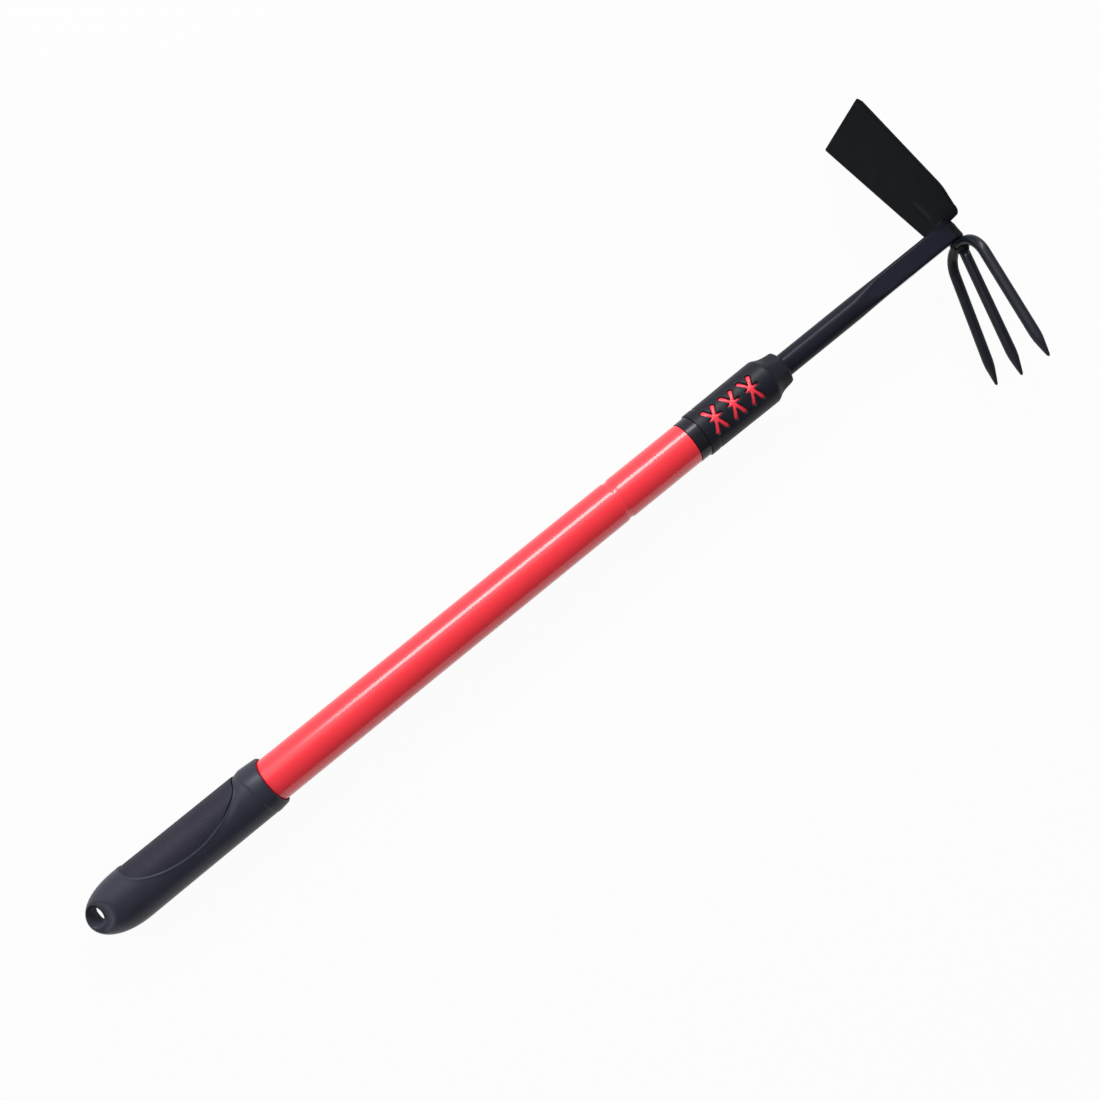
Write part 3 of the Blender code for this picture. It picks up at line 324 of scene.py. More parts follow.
# Finishes
SKIN_IOR = 2.0
NOISE_ROUGHNESS = 0.55
WEAR_FROM = 0.54  # pointiness at which edge wear starts
WEAR_FULL = 0.66
WEAR_SCALE = 350.0
WEAR_SHARE = 0.3  # how far wear goes in its strongest patches
WEAR_AND_HIGHLIGHT_LIFT = 0.03  # a worn edge, and the blade's painted highlight streak, is this much lighter
WEAR_AND_HIGHLIGHT_GAIN = 1.15  # and this many times as bright


def smooth_step(value, low, high):
    """0 below low and 1 above high, with a soft change between them."""
    share = np.clip((value - low) / (high - low), 0, 1)
    return share * share * (3.0 - 2.0 * share)


def softer_min(a, b, blend):
    """The smaller of two values, rounded off where they cross."""
    share = np.clip(0.5 + 0.5 * (b - a) / blend, 0, 1)
    return b + (a - b) * share - blend * share * (1 - share)


def round_off(distance, size):
    """How far a quarter round of a size falls away at a distance from the edge."""
    share = np.clip(1 - distance / size, 0, 1)
    return size * (1 - np.sqrt(1 - share ** 2))


def between(first, last, share):
    """The value at a share of the way from first to last."""
    return first + (last - first) * share


def bell(off, width):
    """A soft bump, 1 in its middle."""
    return np.exp(-(off / width) ** 2)


def around(x, r, angle=ROUND):
    """Points about the handle's axis from stations, radii and angles."""
    return np.stack(np.broadcast_arrays(x, r * np.cos(angle), r * np.sin(angle)), axis=-1)


def stations(*runs, end):
    """Places along a line from runs of (start, step), up to an end and without it."""
    stops = [start for start, _ in runs[1:]] + [end]
    return np.concatenate([np.arange(round((stop - start) / step)) * step + start
                           for (start, step), stop in zip(runs, stops)])


@contextmanager
def edited(mesh):
    """A mesh's bmesh, which goes back into the mesh at the end."""
    bm = bmesh.new()
    bm.from_mesh(mesh)
    yield bm
    bm.to_mesh(mesh)
    bm.free()


def mesh_of(points, faces):
    """A mesh from points and faces, with every face turned outwards."""
    mesh = bpy.data.meshes.new("piece")
    mesh.from_pydata([tuple(point) for point in points], [], faces)
    with edited(mesh) as bm:
        bmesh.ops.remove_doubles(bm, verts=bm.verts, dist=0.000002)
        bmesh.ops.recalc_face_normals(bm, faces=bm.faces)
    return mesh


def join(mesh, extra):
    """Take another mesh into a mesh."""
    with edited(mesh) as bm:
        bm.from_mesh(extra)
    bpy.data.meshes.remove(extra)
    return mesh


def skin_faces(rows, columns, joined=False, start=0):
    """Faces between rings of equally many points; joined closes the last ring on the first."""
    near = start + np.arange(rows * columns).reshape(rows, columns)
    far = np.roll(near, -1, axis=0)
    faces = np.stack((near, np.roll(near, -1, axis=1), np.roll(far, -1, axis=1), far), axis=-1)
    return faces[:rows if joined else rows - 1].reshape(-1, 4).tolist()


def skin(rings, joined=False):
    """A closed skin over rings of points, with a flat face at each end unless it is joined."""
    rings = np.asarray(rings, float)
    rows, columns = rings.shape[:2]
    faces = skin_faces(rows, columns, joined)
    if not joined:
        faces += [tuple(range(columns)), tuple(range((rows - 1) * columns, rows * columns))]
    return mesh_of(rings.reshape(-1, 3), faces)


def rounded(corners, steps=5):
    """A line through corners of (x, r, rounding), each rounded off with a short curve."""
    spots = np.array(corners)[:, :2]
    line = []
    for i, here in enumerate(spots):
        before = spots[i - 1] - here
        after = spots[(i + 1) % len(spots)] - here
        rooms = np.linalg.norm(before), np.linalg.norm(after)
        length = min(corners[i][2], min(rooms) / 2)
        first = here + before / rooms[0] * length
        last = here + after / rooms[1] * length
        for t in np.linspace(0, 1.0, steps if length else 1):
            line.append((1 - t) ** 2 * first + 2 * t * (1 - t) * here + t * t * last)
    return line


def turned(corners):
    """Rings of a line through corners of (x, r, rounding), turned about the handle's axis."""
    return np.array([around(x, r) for x, r in rounded(corners)])


def add_object(name, data):
    """A new object in the scene."""
    made = bpy.data.objects.new(name, data)
    bpy.context.scene.collection.objects.link(made)
    return made


def finish(name, mesh, body, slot, node, *mats):
    """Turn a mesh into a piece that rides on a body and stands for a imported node."""
    mesh.name = name
    mesh.transform(handle_place)
    mesh.shade_smooth()
    for mat in mats:
        mesh.materials.append(mat)
    piece = add_object(name, mesh)
    piece.modifiers.new("even_normals", "WEIGHTED_NORMAL").keep_sharp = True
    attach(piece, body)
    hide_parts(node)


def feed(tree, node, inputs):
    """Link inputs of a node to other nodes' outputs, or set them to values."""
    for key, value in inputs.items():
        if isinstance(value, bpy.types.NodeSocket):
            tree.links.new(value, node.inputs[key])
        else:
            node.inputs[key].default_value = value


def add_node(tree, kind, inputs={}, **settings):
    """Add a node with its plain properties and its inputs."""
    node = tree.nodes.new(kind)
    for key, value in settings.items():
        setattr(node, key, value)
    feed(tree, node, inputs)
    return node


def noise(tree, coords, scale, detail=3.0):
    """A noise over the piece's own coordinates."""
    inputs = {"Vector": coords, "Scale": scale, "Detail": detail, "Roughness": NOISE_ROUGHNESS}
    return add_node(tree, "ShaderNodeTexNoise", inputs).outputs["Fac"]


def mapped(tree, source, low, high, from_low=0.3, from_high=0.7):
    """Map a range of values, by default a noise's usual one, to another."""
    inputs = {"Value": source, "From Min": from_low, "From Max": from_high, "To Min": low,
              "To Max": high}
    return add_node(tree, "ShaderNodeMapRange", inputs).outputs["Result"]


def mixed(tree, factor, first, second):
    """Mix two colours by a factor."""
    inputs = {"Factor": factor, "A": first, "B": second}
    return add_node(tree, "ShaderNodeMix", inputs, data_type="RGBA").outputs["Result"]


def combined(tree, operation, first, *others):
    """Several values multiplied, or the largest of them."""
    for other in others:
        node = add_node(tree, "ShaderNodeMath", {0: first, 1: other}, operation=operation)
        first = node.outputs[0]
    return first


def bumped(tree, coords, grain):
    """The normal from a chain of bumps of (noise scale, distance)."""
    normal = {}
    for scale, distance in grain:
        inputs = {"Strength": 1.0, "Distance": distance, "Height": noise(tree, coords, scale, 2.0)}
        node = add_node(tree, "ShaderNodeBump", {**inputs, **normal})
        normal = {"Normal": node.outputs["Normal"]}
    return normal["Normal"]


def surface(name, colour, worn, roughness, grain, mottle, gloss=0.0, skin_roughness=None,
            specular=0.05, metallic=0.0, wear=WEAR_SHARE, highlight_mark=None):
    """A finish that drifts to a worn colour in patches and is worn lighter along its edges. Its grain is a list of
    (noise scale, bump distance), gloss is the weight of a clear skin over it, and the last argument names an
    attribute that marks a painted highlight, which takes the same lighter colour as the worn edges."""
    mat = bpy.data.materials.new(name)
    mat.use_nodes = True
    tree = mat.node_tree
    coords = add_node(tree, "ShaderNodeTexCoord").outputs["Object"]
    patches = mapped(tree, noise(tree, coords, mottle), 0, 1)
    streaks = noise(tree, coords, mottle * 5.0, 4.0)
    edges = add_node(tree, "ShaderNodeNewGeometry").outputs["Pointiness"]
    share = combined(tree, "MULTIPLY", mapped(tree, edges, 0.0, 1.0, WEAR_FROM, WEAR_FULL),
                     mapped(tree, noise(tree, coords, WEAR_SCALE), wear / 3, wear))
    # The painted highlight marks take the lighter worn colour as well
    if highlight_mark is not None:
        painted_highlight_mark = add_node(tree, "ShaderNodeAttribute", attribute_name=highlight_mark).outputs["Fac"]
        share = combined(tree, "MAXIMUM", share, painted_highlight_mark)
    worn_and_highlight = [min(1.0, WEAR_AND_HIGHLIGHT_LIFT + WEAR_AND_HIGHLIGHT_GAIN * part) for part in colour]
    base = mixed(tree, patches, (*colour, 1.0), (*worn, 1.0))
    normal = bumped(tree, coords, grain)
    feed(tree, tree.nodes["Principled BSDF"], {
        "Base Color": mixed(tree, share, base, (*worn_and_highlight, 1.0)),
        "Roughness": mapped(tree, streaks, *roughness),
        "Specular IOR Level": specular,
        "Metallic": metallic,
        "Coat Weight": gloss,
        "Coat Roughness": sum(roughness) / 2 if skin_roughness is None else skin_roughness,
        "Coat IOR": SKIN_IOR,
        "Normal": normal,
        "Coat Normal": normal,
    })
    return mat


def red_paint():
    """Glossy powder coat, a soft sheen under a clear skin with faint waves."""
    return surface("red_powder_coat", (0.9, 0.014, 0.03), (0.87, 0.012, 0.026), (0.3, 0.36),
                   [(420.0, 6e-7), (2600.0, 2e-7)], 25.0, 0.39, skin_roughness=0.1, specular=0.38)


def grip_plastic():
    """Satin black moulded plastic with a fine spark-eroded grain."""
    return surface("satin_grip_plastic", (0.017, 0.019, 0.034), (0.021, 0.023, 0.038),
                   (0.33, 0.4), [(2400.0, 4e-6), (700.0, 2e-6)], 45.0, 0.2)


def hole_wall_painted_light():
    """The grip's plastic on the hang hole's wall, rougher, and painted lighter and bluer as painted light inside
    the hole.
    """
    return surface("painted_light_hole_wall", (0.05, 0.053, 0.08), (0.056, 0.06, 0.088),
                   (0.5, 0.6), [(1500.0, 1e-5)], 90.0)


def pad_rubber():
    """Matte black rubber of the ribbed pad."""
    return surface("ribbed_pad_rubber", (0.016, 0.0155, 0.027), (0.021, 0.02, 0.033),
                   (0.44, 0.56), [(1800.0, 1e-5), (5200.0, 5e-6)], 80.0, 0.1)


def lock_plastic():
    """Glossy black plastic of the lock body."""
    return surface("gloss_lock_plastic", (0.004, 0.004, 0.009), (0.006, 0.006, 0.011),
                   (0.16, 0.22), [(900.0, 2e-6)], 40.0, 0.16, specular=0.1)


def sleeve_rubber():
    """Soft black rubber of the nut's sleeve, with a faint bloom."""
    return surface("nut_sleeve_rubber", (0.0065, 0.008, 0.0145), (0.0105, 0.011, 0.016),
                   (0.34, 0.44), [(1500.0, 5e-6), (260.0, 8e-6)], 55.0, 0.1)


def red_plastic():
    """Satin red plastic of the nut's core."""
    return surface("satin_red_plastic", (0.86, 0.03, 0.06), (0.8, 0.024, 0.05), (0.32, 0.4),
                   [(900.0, 8e-6)], 60.0, 0.16, specular=0.3)


def black_paint():
    """Satin black paint of the inner tube, a little blue, with fine rubbing marks."""
    return surface("satin_tube_paint", (0.0095, 0.0105, 0.018), (0.0115, 0.013, 0.021), (0.2, 0.26),
                   [(1100.0, 6e-7), (240.0, 1e-6)], 35.0, 0.045, specular=0.04)


def blade_paint():
    """Flat black paint on pressed steel, with a painted highlight streak along the trough."""
    return surface("flat_blade_paint", (0.0062, 0.0078, 0.0095), (0.0082, 0.0095, 0.0115),
                   (0.48, 0.6), [(1300.0, 5e-6), (130.0, 1e-5)], 30.0, 0.015, specular=0.02,
                   highlight_mark="trough_painted_highlight")


def tine_paint():
    """Half-gloss black paint on steel rod."""
    return surface("tine_rod_paint", (0.005, 0.006, 0.011), (0.007, 0.009, 0.015), (0.22, 0.28),
                   [(800.0, 1e-6), (180.0, 2e-6)], 70.0, 0.15, specular=0.04)


def weld_paint():
    """Thin black paint over a rough bead, which lets a greenish grey through."""
    return surface("painted_weld", (0.005, 0.0065, 0.0075), (0.011, 0.014, 0.013), (0.36, 0.5),
                   [(900.0, 6e-6), (2500.0, 2e-6)], 120.0, 0.008, wear=0.06)


def plain_plastic(name, colour):
    """Moulded plastic of a piece inside the handle."""
    worn = [0.85 * part for part in colour]
    return surface(name, colour, worn, (0.38, 0.5), [(1200.0, 1e-5)], 90.0, specular=0.4)


def pin_steel():
    """Drawn steel of the cross pin."""
    return surface("drawn_pin_steel", (0.5, 0.5, 0.5), (0.42, 0.41, 0.4), (0.26, 0.38),
                   [(2200.0, 6e-6)], 300.0, metallic=1.0)


def grip_radius(x):
    """Radius of the grip's body: a blunt oval at the butt, then a slow taper."""
    inside = np.clip((BUTT_LENGTH - x) / BUTT_LENGTH, 0, 1)
    share = np.clip((x - BUTT_LENGTH) / (grip_length - BUTT_LENGTH), 0, 1)
    oval = (1 - inside ** BUTT_FULLNESS) ** (1 / BUTT_FULLNESS)
    return butt_r * oval - GRIP_THINNER * np.sin(share * pi / 2)


def collar_edge(angle):
    """Where the collar's step runs: it sweeps back on the pad's side."""
    sweep = ((1 + np.cos(angle)) / 2) ** 4
    return grip_length - COLLAR_SHORT - (COLLAR_LONG - COLLAR_SHORT) * sweep


def pad_wrap(x):
    """Half the angle that the pad covers at a station."""
    widest = PAD_START + PAD_REAR
    rear = np.clip((widest - x) / PAD_REAR, 0, 1)
    front = np.clip((x - widest) / (pad_front + PAD_CUT - widest), 0, 1)
    wrap = PAD_WRAP * np.where(x < widest, (1 - rear ** 2) ** (1 / PAD_REAR_FULLNESS),
                               (1 - front ** 2) ** (1 / PAD_FRONT_FULLNESS))
    return wrap - round_off(pad_front - x, PAD_CORNER) / butt_r


def pad_distance(x, angle):
    """Distance outside the pad's outline, measured over the grip's surface; negative inside."""
    shares = 0.5 - 0.5 * np.cos(np.linspace(0, pi, 160))
    line_x = between(PAD_START, pad_front, shares)
    line = np.vstack((np.column_stack((line_x, pad_wrap(line_x) * skin_r)), (pad_front, 0.0)))
    turn = np.abs((angle + pi) % tau - pi) * skin_r
    nearest = np.full(x.shape, np.inf)
    for start, run in zip(line, np.diff(line, axis=0)):
        off_x, off_s = x - start[0], turn - start[1]
        along = np.clip((off_x * run[0] + off_s * run[1]) / max(run @ run, 1e-18), 0, 1)
        nearest = np.minimum(nearest, np.hypot(off_x - along * run[0], off_s - along * run[1]))
    inside = (x > PAD_START) & (x < pad_front) & (turn < pad_wrap(x) * skin_r)
    return np.where(inside, -nearest, nearest)


def oval_distance(x, y, centre, half, fullness=2.0):
    """Distance outside an oval's outline, seen from above; negative inside."""
    off_x = np.abs(x - centre[0]) / half[0]
    off_y = np.abs(y - centre[1]) / half[1]
    scaled = np.maximum((off_x ** fullness + off_y ** fullness) ** (1 / fullness), 0.000001)
    slope = np.hypot((off_x / scaled) ** (fullness - 1.0) / half[0],
                     (off_y / scaled) ** (fullness - 1.0) / half[1])
    return (scaled - 1.0) / np.maximum(slope, 1.0)


def hole_distance(x, y):
    """Distance outside the hang hole's outline."""
    return oval_distance(x, y, HOLE_CENTRE, HOLE_HALF, HOLE_FULLNESS)


def grip_grid():
    """The stations and angles of the grip's grid."""
    tip = BUTT_LENGTH * (1 - np.cos(np.radians(TIP_TURNS)))
    rest = stations((tip[-1] + GRIP_STEP, GRIP_STEP), *GRIP_RUNS, end=grip_length - MOUTH_ROUNDING)
    fine = np.arange(-PAD_SIDE, PAD_SIDE + 0.1, PAD_SIDE_STEP)
    far_start = PAD_SIDE + FAR_SIDE_STEP
    far = np.arange(far_start, 360.1 - far_start, FAR_SIDE_STEP)
    turns = np.radians(np.concatenate((fine, far)))
    return np.meshgrid(np.concatenate((tip, rest)), turns, indexing="ij")


def grip_surface():
    """The grip's outside as rings: butt, pocket for the pad, lip, scoop and collar."""
    x, angle = grip_grid()
    off_pad = pad_distance(x, angle)
    pad_floor = skin_r - PAD_RECESS - PAD_THICKNESS - GAP
    scoop = smooth_step(x, SCOOP_START, SCOOP_FULL) * (1 - smooth_step(off_pad, 0.0, SCOOP_WIDTH))
    lip = LIP_RISE * bell(off_pad - LIP_AT, LIP_WIDTH)
    drop = PAD_RECESS * (1 - smooth_step(off_pad, 0.0, LIP_WIDTH))
    tuck = POCKET_TUCK * (1 - smooth_step(off_pad, -POCKET_INSET, -POCKET_INSET / 2))
    raised = grip_radius(x) + lip - drop - tuck - SCOOP_DEPTH * scoop
    into_pocket = 1 - smooth_step(off_pad, -POCKET_INSET - GAP, -POCKET_INSET)
    radius = between(raised, pad_floor, into_pocket)

    past_edge = x - collar_edge(angle)
    step = COLLAR_STEP * np.minimum(between(*COLLAR_STEP_SHARES, (1 + np.cos(angle)) / 2), 1)
    share = np.clip(past_edge / (grip_length - collar_edge(angle)), 0, 1)
    radius = radius + step * smooth_step(past_edge, -COLLAR_EDGE, 0.0) - COLLAR_DRAFT * share ** 1.5

    skew = BUTT_SKEW * np.clip((BUTT_LENGTH - x) / BUTT_LENGTH, 0, 1) ** 2
    y = radius * np.cos(angle) + skew
    z = radius * np.sin(angle)
    dish = HOLE_WEB / 2 + DISH_SLOPE * np.maximum(oval_distance(x, y, DISH_CENTRE, DISH_HALF), 0.0)
    edge = HOLE_ROUNDING * bell(np.maximum(hole_distance(x, y), 0.0), HOLE_ROUNDING)
    top = softer_min(np.abs(z), dish - edge, DISH_SOFTNESS)
    z = np.where((x < BUTT_LENGTH) & (np.abs(z) > TIP_BAND), np.sign(z) * top, z)
    return np.stack((x, y, z), axis=-1)


def snap_to_hole(vertex):
    """Move a point that is near the hang hole's outline onto it."""
    x, y, z = vertex.co
    off = float(hole_distance(x, y))
    if x < BUTT_LENGTH and abs(z) > TIP_BAND and abs(off) < SNAP:
        step = 0.00001
        away = Vector((hole_distance(x + step, y) - off, hole_distance(x, y + step) - off))
        away.normalize()
        vertex.co.x -= off * away.x
        vertex.co.y -= off * away.y


def cut_hang_hole(bm):
    """Take out the faces inside the hang hole's outline and join the two rims with a wall."""
    for vertex in bm.verts:
        snap_to_hole(vertex)
    inside = []
    for face in bm.faces:
        x, y, z = face.calc_center_median()
        if abs(z) > TIP_BAND and x < BUTT_LENGTH and hole_distance(x, y) < 0.0:
            inside.append(face)
    bmesh.ops.delete(bm, geom=inside, context="FACES")
    rim = [edge for edge in bm.edges if edge.is_boundary]
    for face in bmesh.ops.bridge_loops(bm, edges=rim)["faces"]:
        # The wall takes the second material, painted lighter than the grip as painted light inside the hole
        face.material_index = 1
    bmesh.ops.recalc_face_normals(bm, faces=bm.faces)


def grip_mesh():
    """The moulded grip; the wall of its hang hole takes the second material, a lighter copy of the grip's plastic
    that is painted light.
    """
    rings = list(grip_surface())
    x, y, z = rings[-1].T
    angle = np.arctan2(z, y)
    mouth = np.hypot(y, z)
    for turn in np.radians((30.0, 60.0, 90.0)):
        inward = MOUTH_ROUNDING * (1 - cos(turn))
        rings.append(around(x + MOUTH_ROUNDING * sin(turn), mouth - inward, angle))
    rings += [around(station, tube_r + GAP, angle) for station in (grip_length, tube_rear - GAP)]
    rows, columns = len(rings), len(angle)
    points = [*np.reshape(rings, (-1, 3)), (0.0, BUTT_SKEW, 0.0)]
    faces = skin_faces(rows, columns)
    faces.append(tuple(range((rows - 1) * columns, rows * columns)))
    faces += [(rows * columns, (j + 1) % columns, j) for j in range(columns)]
    mesh = mesh_of(points, faces)
    with edited(mesh) as bm:
        cut_hang_hole(bm)
    return mesh


def pad_mesh():
    """The ribbed pad, a curved shell with a rounded edge and fine ribs across the handle."""
    outer = skin_r - PAD_RECESS
    count = int((pad_front - PAD_START) / RIB_PITCH * 5)
    even = np.linspace(-1.0, 1.0, PAD_COLUMNS)
    spread = between(even, np.sin(even * pi / 2), PAD_CROWDING)
    rings = []
    for x in np.linspace(PAD_START + PAD_INSET, pad_front - PAD_INSET, count + 1):
        angle = (pad_wrap(x) - PAD_INSET / outer) * spread
        to_edge = -pad_distance(np.full_like(angle, x), angle)
        rib = RIB_HEIGHT * cos(tau * (x - PAD_START) / RIB_PITCH)
        radius = outer - round_off(to_edge, PAD_EDGE) + rib * smooth_step(to_edge, *RIB_FADE)
        low = around(x, outer - PAD_THICKNESS, angle)
        rings.append(np.concatenate((around(x, radius, angle), low[::-1])))
    return skin(rings)


def dipped(radius, width):
    """The tube's bead as a smooth dip in a run of constant radius, in (x, r, rounding) corners."""
    return [(bead_x + width * (share - 0.5),
             radius - BEAD_DEPTH * (1 - cos(tau * share)) / 2, 0.0)
            for share in np.linspace(0, 1.0, 17)]


def tube_mesh():
    """The red tube, with its rolled bead and slightly rounded ends."""
    inner_r = tube_r - TUBE_WALL
    run = bead_x - tube_rear - BEAD_WIDTH
    corners = [(tube_rear, tube_r, EDGE_ROUNDING),
               *((tube_rear + share * run, tube_r, 0.0) for share in (0.2, 0.4, 0.6, 0.8)),
               *dipped(tube_r, BEAD_WIDTH), (tube_front, tube_r, EDGE_ROUNDING),
               (tube_front, inner_r, EDGE_ROUNDING), *dipped(inner_r, BEAD_WIDTH)[::-1],
               (tube_rear, inner_r, EDGE_ROUNDING)]
    return skin(turned(corners), joined=True)


def thread_rings(start, foot_r, crest_r):
    """Rings of a helical ridge, right-handed, which sinks into its wall at both ends."""
    steps = 48
    turns = np.arange(round(THREAD_TURNS * steps) + 1)[:, None] / steps
    rise = np.minimum(1, 4 * np.minimum(turns, turns[::-1]))
    top = between(foot_r, crest_r, 1.2 * rise - 0.2)
    low = np.full_like(top, between(foot_r, crest_r, -0.3))
    foot, crest = THREAD_FOOT / 2, THREAD_CREST / 2
    along = start + THREAD_PITCH * turns + (-foot, -crest, 0.0, crest, foot)
    return around(along, np.hstack((low, top, top + 0.00005 * rise, top, low)), tau * turns)


def lock_body_mesh():
    """The lock body: shank in the tube, glossy flange, thread and cone seat."""
    flange_front = nut_rear - RING_GAP
    flange_rear = nut_rear - GAP - FLANGE_LENGTH
    shank_r = tube_r - TUBE_WALL - GAP
    bore = neck_r + GAP
    root = bore + LOCK_WALL
    body = turned([(body_rear, shank_r, 0.0005), *dipped(shank_r, BEAD_WIDTH + 2 * GAP),
                   (flange_rear, shank_r, 0.0), (flange_rear, flange_r, 0.00025),
                   (flange_front, flange_r, FLANGE_ROUNDING), (flange_front, root, 0.0003),
                   (body_front, root, 0.0004), (body_front, bore + SEAT_RISE, 0.0002),
                   (body_front - SEAT_LENGTH, bore, 0.0003), (body_rear, bore, 0.0004)])
    ridge = thread_rings(flange_front + THREAD_LEAD, root, root + THREAD_DEPTH)
    faces = skin_faces(len(body), SEGMENTS, joined=True)
    faces += skin_faces(len(ridge), ridge.shape[1], start=len(body) * SEGMENTS)
    return mesh_of(np.concatenate((body.reshape(-1, 3), ridge.reshape(-1, 3))), faces)


def arm_distance(x, s, tip, half_widths):
    """Distance outside one arm of a cross, a club that grows or shrinks to its tip."""
    along = np.clip((x * tip[0] + s * tip[1]) / hypot(*tip) ** 2, 0, 1)
    return np.hypot(x - tip[0] * along, s - tip[1] * along) - between(*half_widths, along)


def cross_distance(x, s):
    """Distance outside one cross, centred at zero; s runs round the nut, away from the blade."""
    arms = [arm_distance(x, s, tip, LONG_ARM_WIDTHS) for tip in LONG_ARMS]
    arms += [arm_distance(x, s, tip, SHORT_ARM_WIDTHS) for tip in SHORT_ARMS]
    nearest = arms[0]
    for arm in arms[1:]:
        nearest = softer_min(nearest, arm, ARM_BLEND)
    return nearest


def crosses_distance(x, angle):
    """Distance outside the nearest cross of the nut."""
    middle = (nut_rear + shoulder) / 2 - CROSS_BACK
    nearest = np.full(x.shape, np.inf)
    for row in range(CROSS_ROWS):
        turn = (angle - CROSS_ROW_ANGLE - tau * row / CROSS_ROWS + pi) % tau - pi
        for k in range(CROSS_COUNT):
            centre = middle + CROSS_PITCH * (k - (CROSS_COUNT - 1) / 2)
            nearest = np.minimum(nearest, cross_distance(x - centre, turn * sleeve_r))
    return nearest


def nut_grid(outline, places):
    """A grid over the nut's round, finer at the crosses and snapped to an outline of them."""
    fine = np.arange(-CROSS_ROW_HALF, CROSS_ROW_HALF, CROSS_STEP / sleeve_r)
    coarse = np.linspace(CROSS_ROW_HALF, pi - CROSS_ROW_HALF, 12, endpoint=False)
    one_side = np.concatenate((fine, coarse)) + CROSS_ROW_ANGLE
    angles = np.concatenate((one_side, one_side + pi))
    x, angle = np.meshgrid(places, angles, indexing="ij")
    step = 0.00002
    away = crosses_distance(x, angle)
    slope_x = (crosses_distance(x + step, angle) - away) / step
    slope_s = (crosses_distance(x, angle + step / sleeve_r) - away) / step
    distance = away - outline
    near = np.abs(distance) < CROSS_SNAP
    x = np.where(near, x - distance * slope_x, x)
    angle = np.where(near, angle - distance * slope_s / sleeve_r, angle)
    return x, angle, np.where(near, 0.0, distance)


def nut_shell(x, radius, angle, lining):
    """A closed shell from the grid of its outside and the (x, r) corners of its lining."""
    inside = [around(station, r, angle[0]) for station, r in lining]
    return skin([*around(x, radius, angle), *inside], joined=True)


def sleeve_radius(x, angle):
    """Outer radius of the sleeve: rim, groove, slow swell, and a nose with soft flats."""
    local = x - nut_rear
    swell = SLEEVE_SWELL * smooth_step(local, RIM_LENGTH, shoulder - nut_rear)
    groove = RIM_GROOVE * bell(local - RIM_LENGTH, RIM_GROOVE_WIDTH)
    radius = sleeve_r - SLEEVE_SWELL + swell - groove - round_off(local, EDGE_ROUNDING)
    share = np.clip((x - shoulder) / NOSE_LENGTH, 0, 1)
    radius -= (sleeve_r - mouth_r - NOSE_MOUTH_WALL) * np.interp(share, *zip(*NOSE_TAPER))
    flat = tau / NOSE_FLATS
    off = (angle + flat / 2) % flat - flat / 2
    inset = radius * (1 - cos(flat / 2) / np.cos(off))
    return radius - FLATS_SHARE * smooth_step(share, *FLATS_RISE) * np.maximum(inset, 0.0)


def sleeve_mesh():
    """The rubber sleeve with its cross-shaped openings."""
    window_r = sleeve_r - SLEEVE_WALL - GAP
    inner_r = window_r - GAP
    rear = nut_rear + SLEEVE_END_WALL
    front = nut_front - SLEEVE_END_WALL
    runs = stations((rear, SLEEVE_STEP), (nut_rear + CROSSES_FROM, CROSS_STEP),
                    (shoulder - SLEEVE_END_WALL, SLEEVE_STEP), end=nut_front)
    places = np.concatenate((nut_rear + np.linspace(0, EDGE_ROUNDING, 7), runs, [nut_front]))
    x, angle, distance = nut_grid(CROSS_MARGIN, places)
    soft_edge = OPENING_EDGE * bell(np.maximum(distance, 0.0), OPENING_EDGE_WIDTH)
    opened = distance < -CROSS_HOLD
    radius = np.where(opened, window_r, sleeve_radius(x, angle) - soft_edge)
    mesh = nut_shell(x, radius, angle, (
        (nut_front, mouth_r + SLEEVE_STEP), (nut_front - SLEEVE_STEP, mouth_r), (front, mouth_r),
        (front, mouth_r + NOSE_SEAT), (shoulder, inner_r), (rear, inner_r), (rear, nut_bore_r),
        (nut_rear, nut_bore_r)))
    with edited(mesh) as bm:
        covers = [face for face in bm.faces
                  if all(abs(hypot(*vertex.co.yz) - window_r) < 0.00001 for vertex in face.verts)]
        bmesh.ops.delete(bm, geom=covers, context="FACES")
    return mesh


def core_mesh():
    """The red core, with the raised crosses that fill the sleeve's openings."""
    base_r = sleeve_r - SLEEVE_SWELL - SLEEVE_WALL - GAP
    face_r = sleeve_r - SLEEVE_SWELL - CROSS_RECESS
    nose_r = neck_r + GAP + CORE_NOSE_WALL
    chamfer = 0.0004
    runs = stations((nut_rear + CROSSES_FROM, CROSS_STEP), end=shoulder - SLEEVE_END_WALL)
    x, angle, distance = nut_grid(0.0, np.concatenate(([core_rear], runs, [shoulder - GAP])))
    crown = CORE_CROWN * (1 - smooth_step(-distance, 0.0, CORE_CROWN_WIDTH))
    radius = np.where(distance < CROSS_HOLD, face_r - crown, base_r)
    return nut_shell(x, radius, angle, (
        (core_front - chamfer, nose_r), (core_front, nose_r - chamfer), (core_front, mouth_r),
        (shoulder, mouth_r), (shoulder - CORE_CONE, nut_bore_r), (core_rear, nut_bore_r)))


def box_ray(angle, half_y, half_z, corner):
    """Where rays at these angles leave a rectangle with round corners."""
    ray = np.abs((np.cos(angle), np.sin(angle)))
    core = np.array(((half_y,), (half_z,))) - corner
    flat = np.min((core + corner) / np.maximum(ray, 1e-9), axis=0)
    along = (ray * core).sum(axis=0)
    arc = along + np.sqrt(np.maximum(along ** 2 - (core ** 2).sum(axis=0) + corner ** 2, 0))
    return np.where((ray * flat > core).all(axis=0), arc, flat)


def neck_ring(x, inset=0.0):
    """A ring of the inner tube: round, with flats that widen as a V where the pressing starts."""
    pressed = min(1.0, max(0.0, (x - press_start) / PRESS_RAMP))
    half_y = between(neck_r, PRESSED_HALF_Y, pressed)
    half_z = between(neck_r, PRESSED_HALF_Z, pressed)
    corner = between(neck_r, PRESSED_CORNER, pressed)
    return around(x, box_ray(ROUND, half_y, half_z, min(corner, half_y, half_z)) - inset)


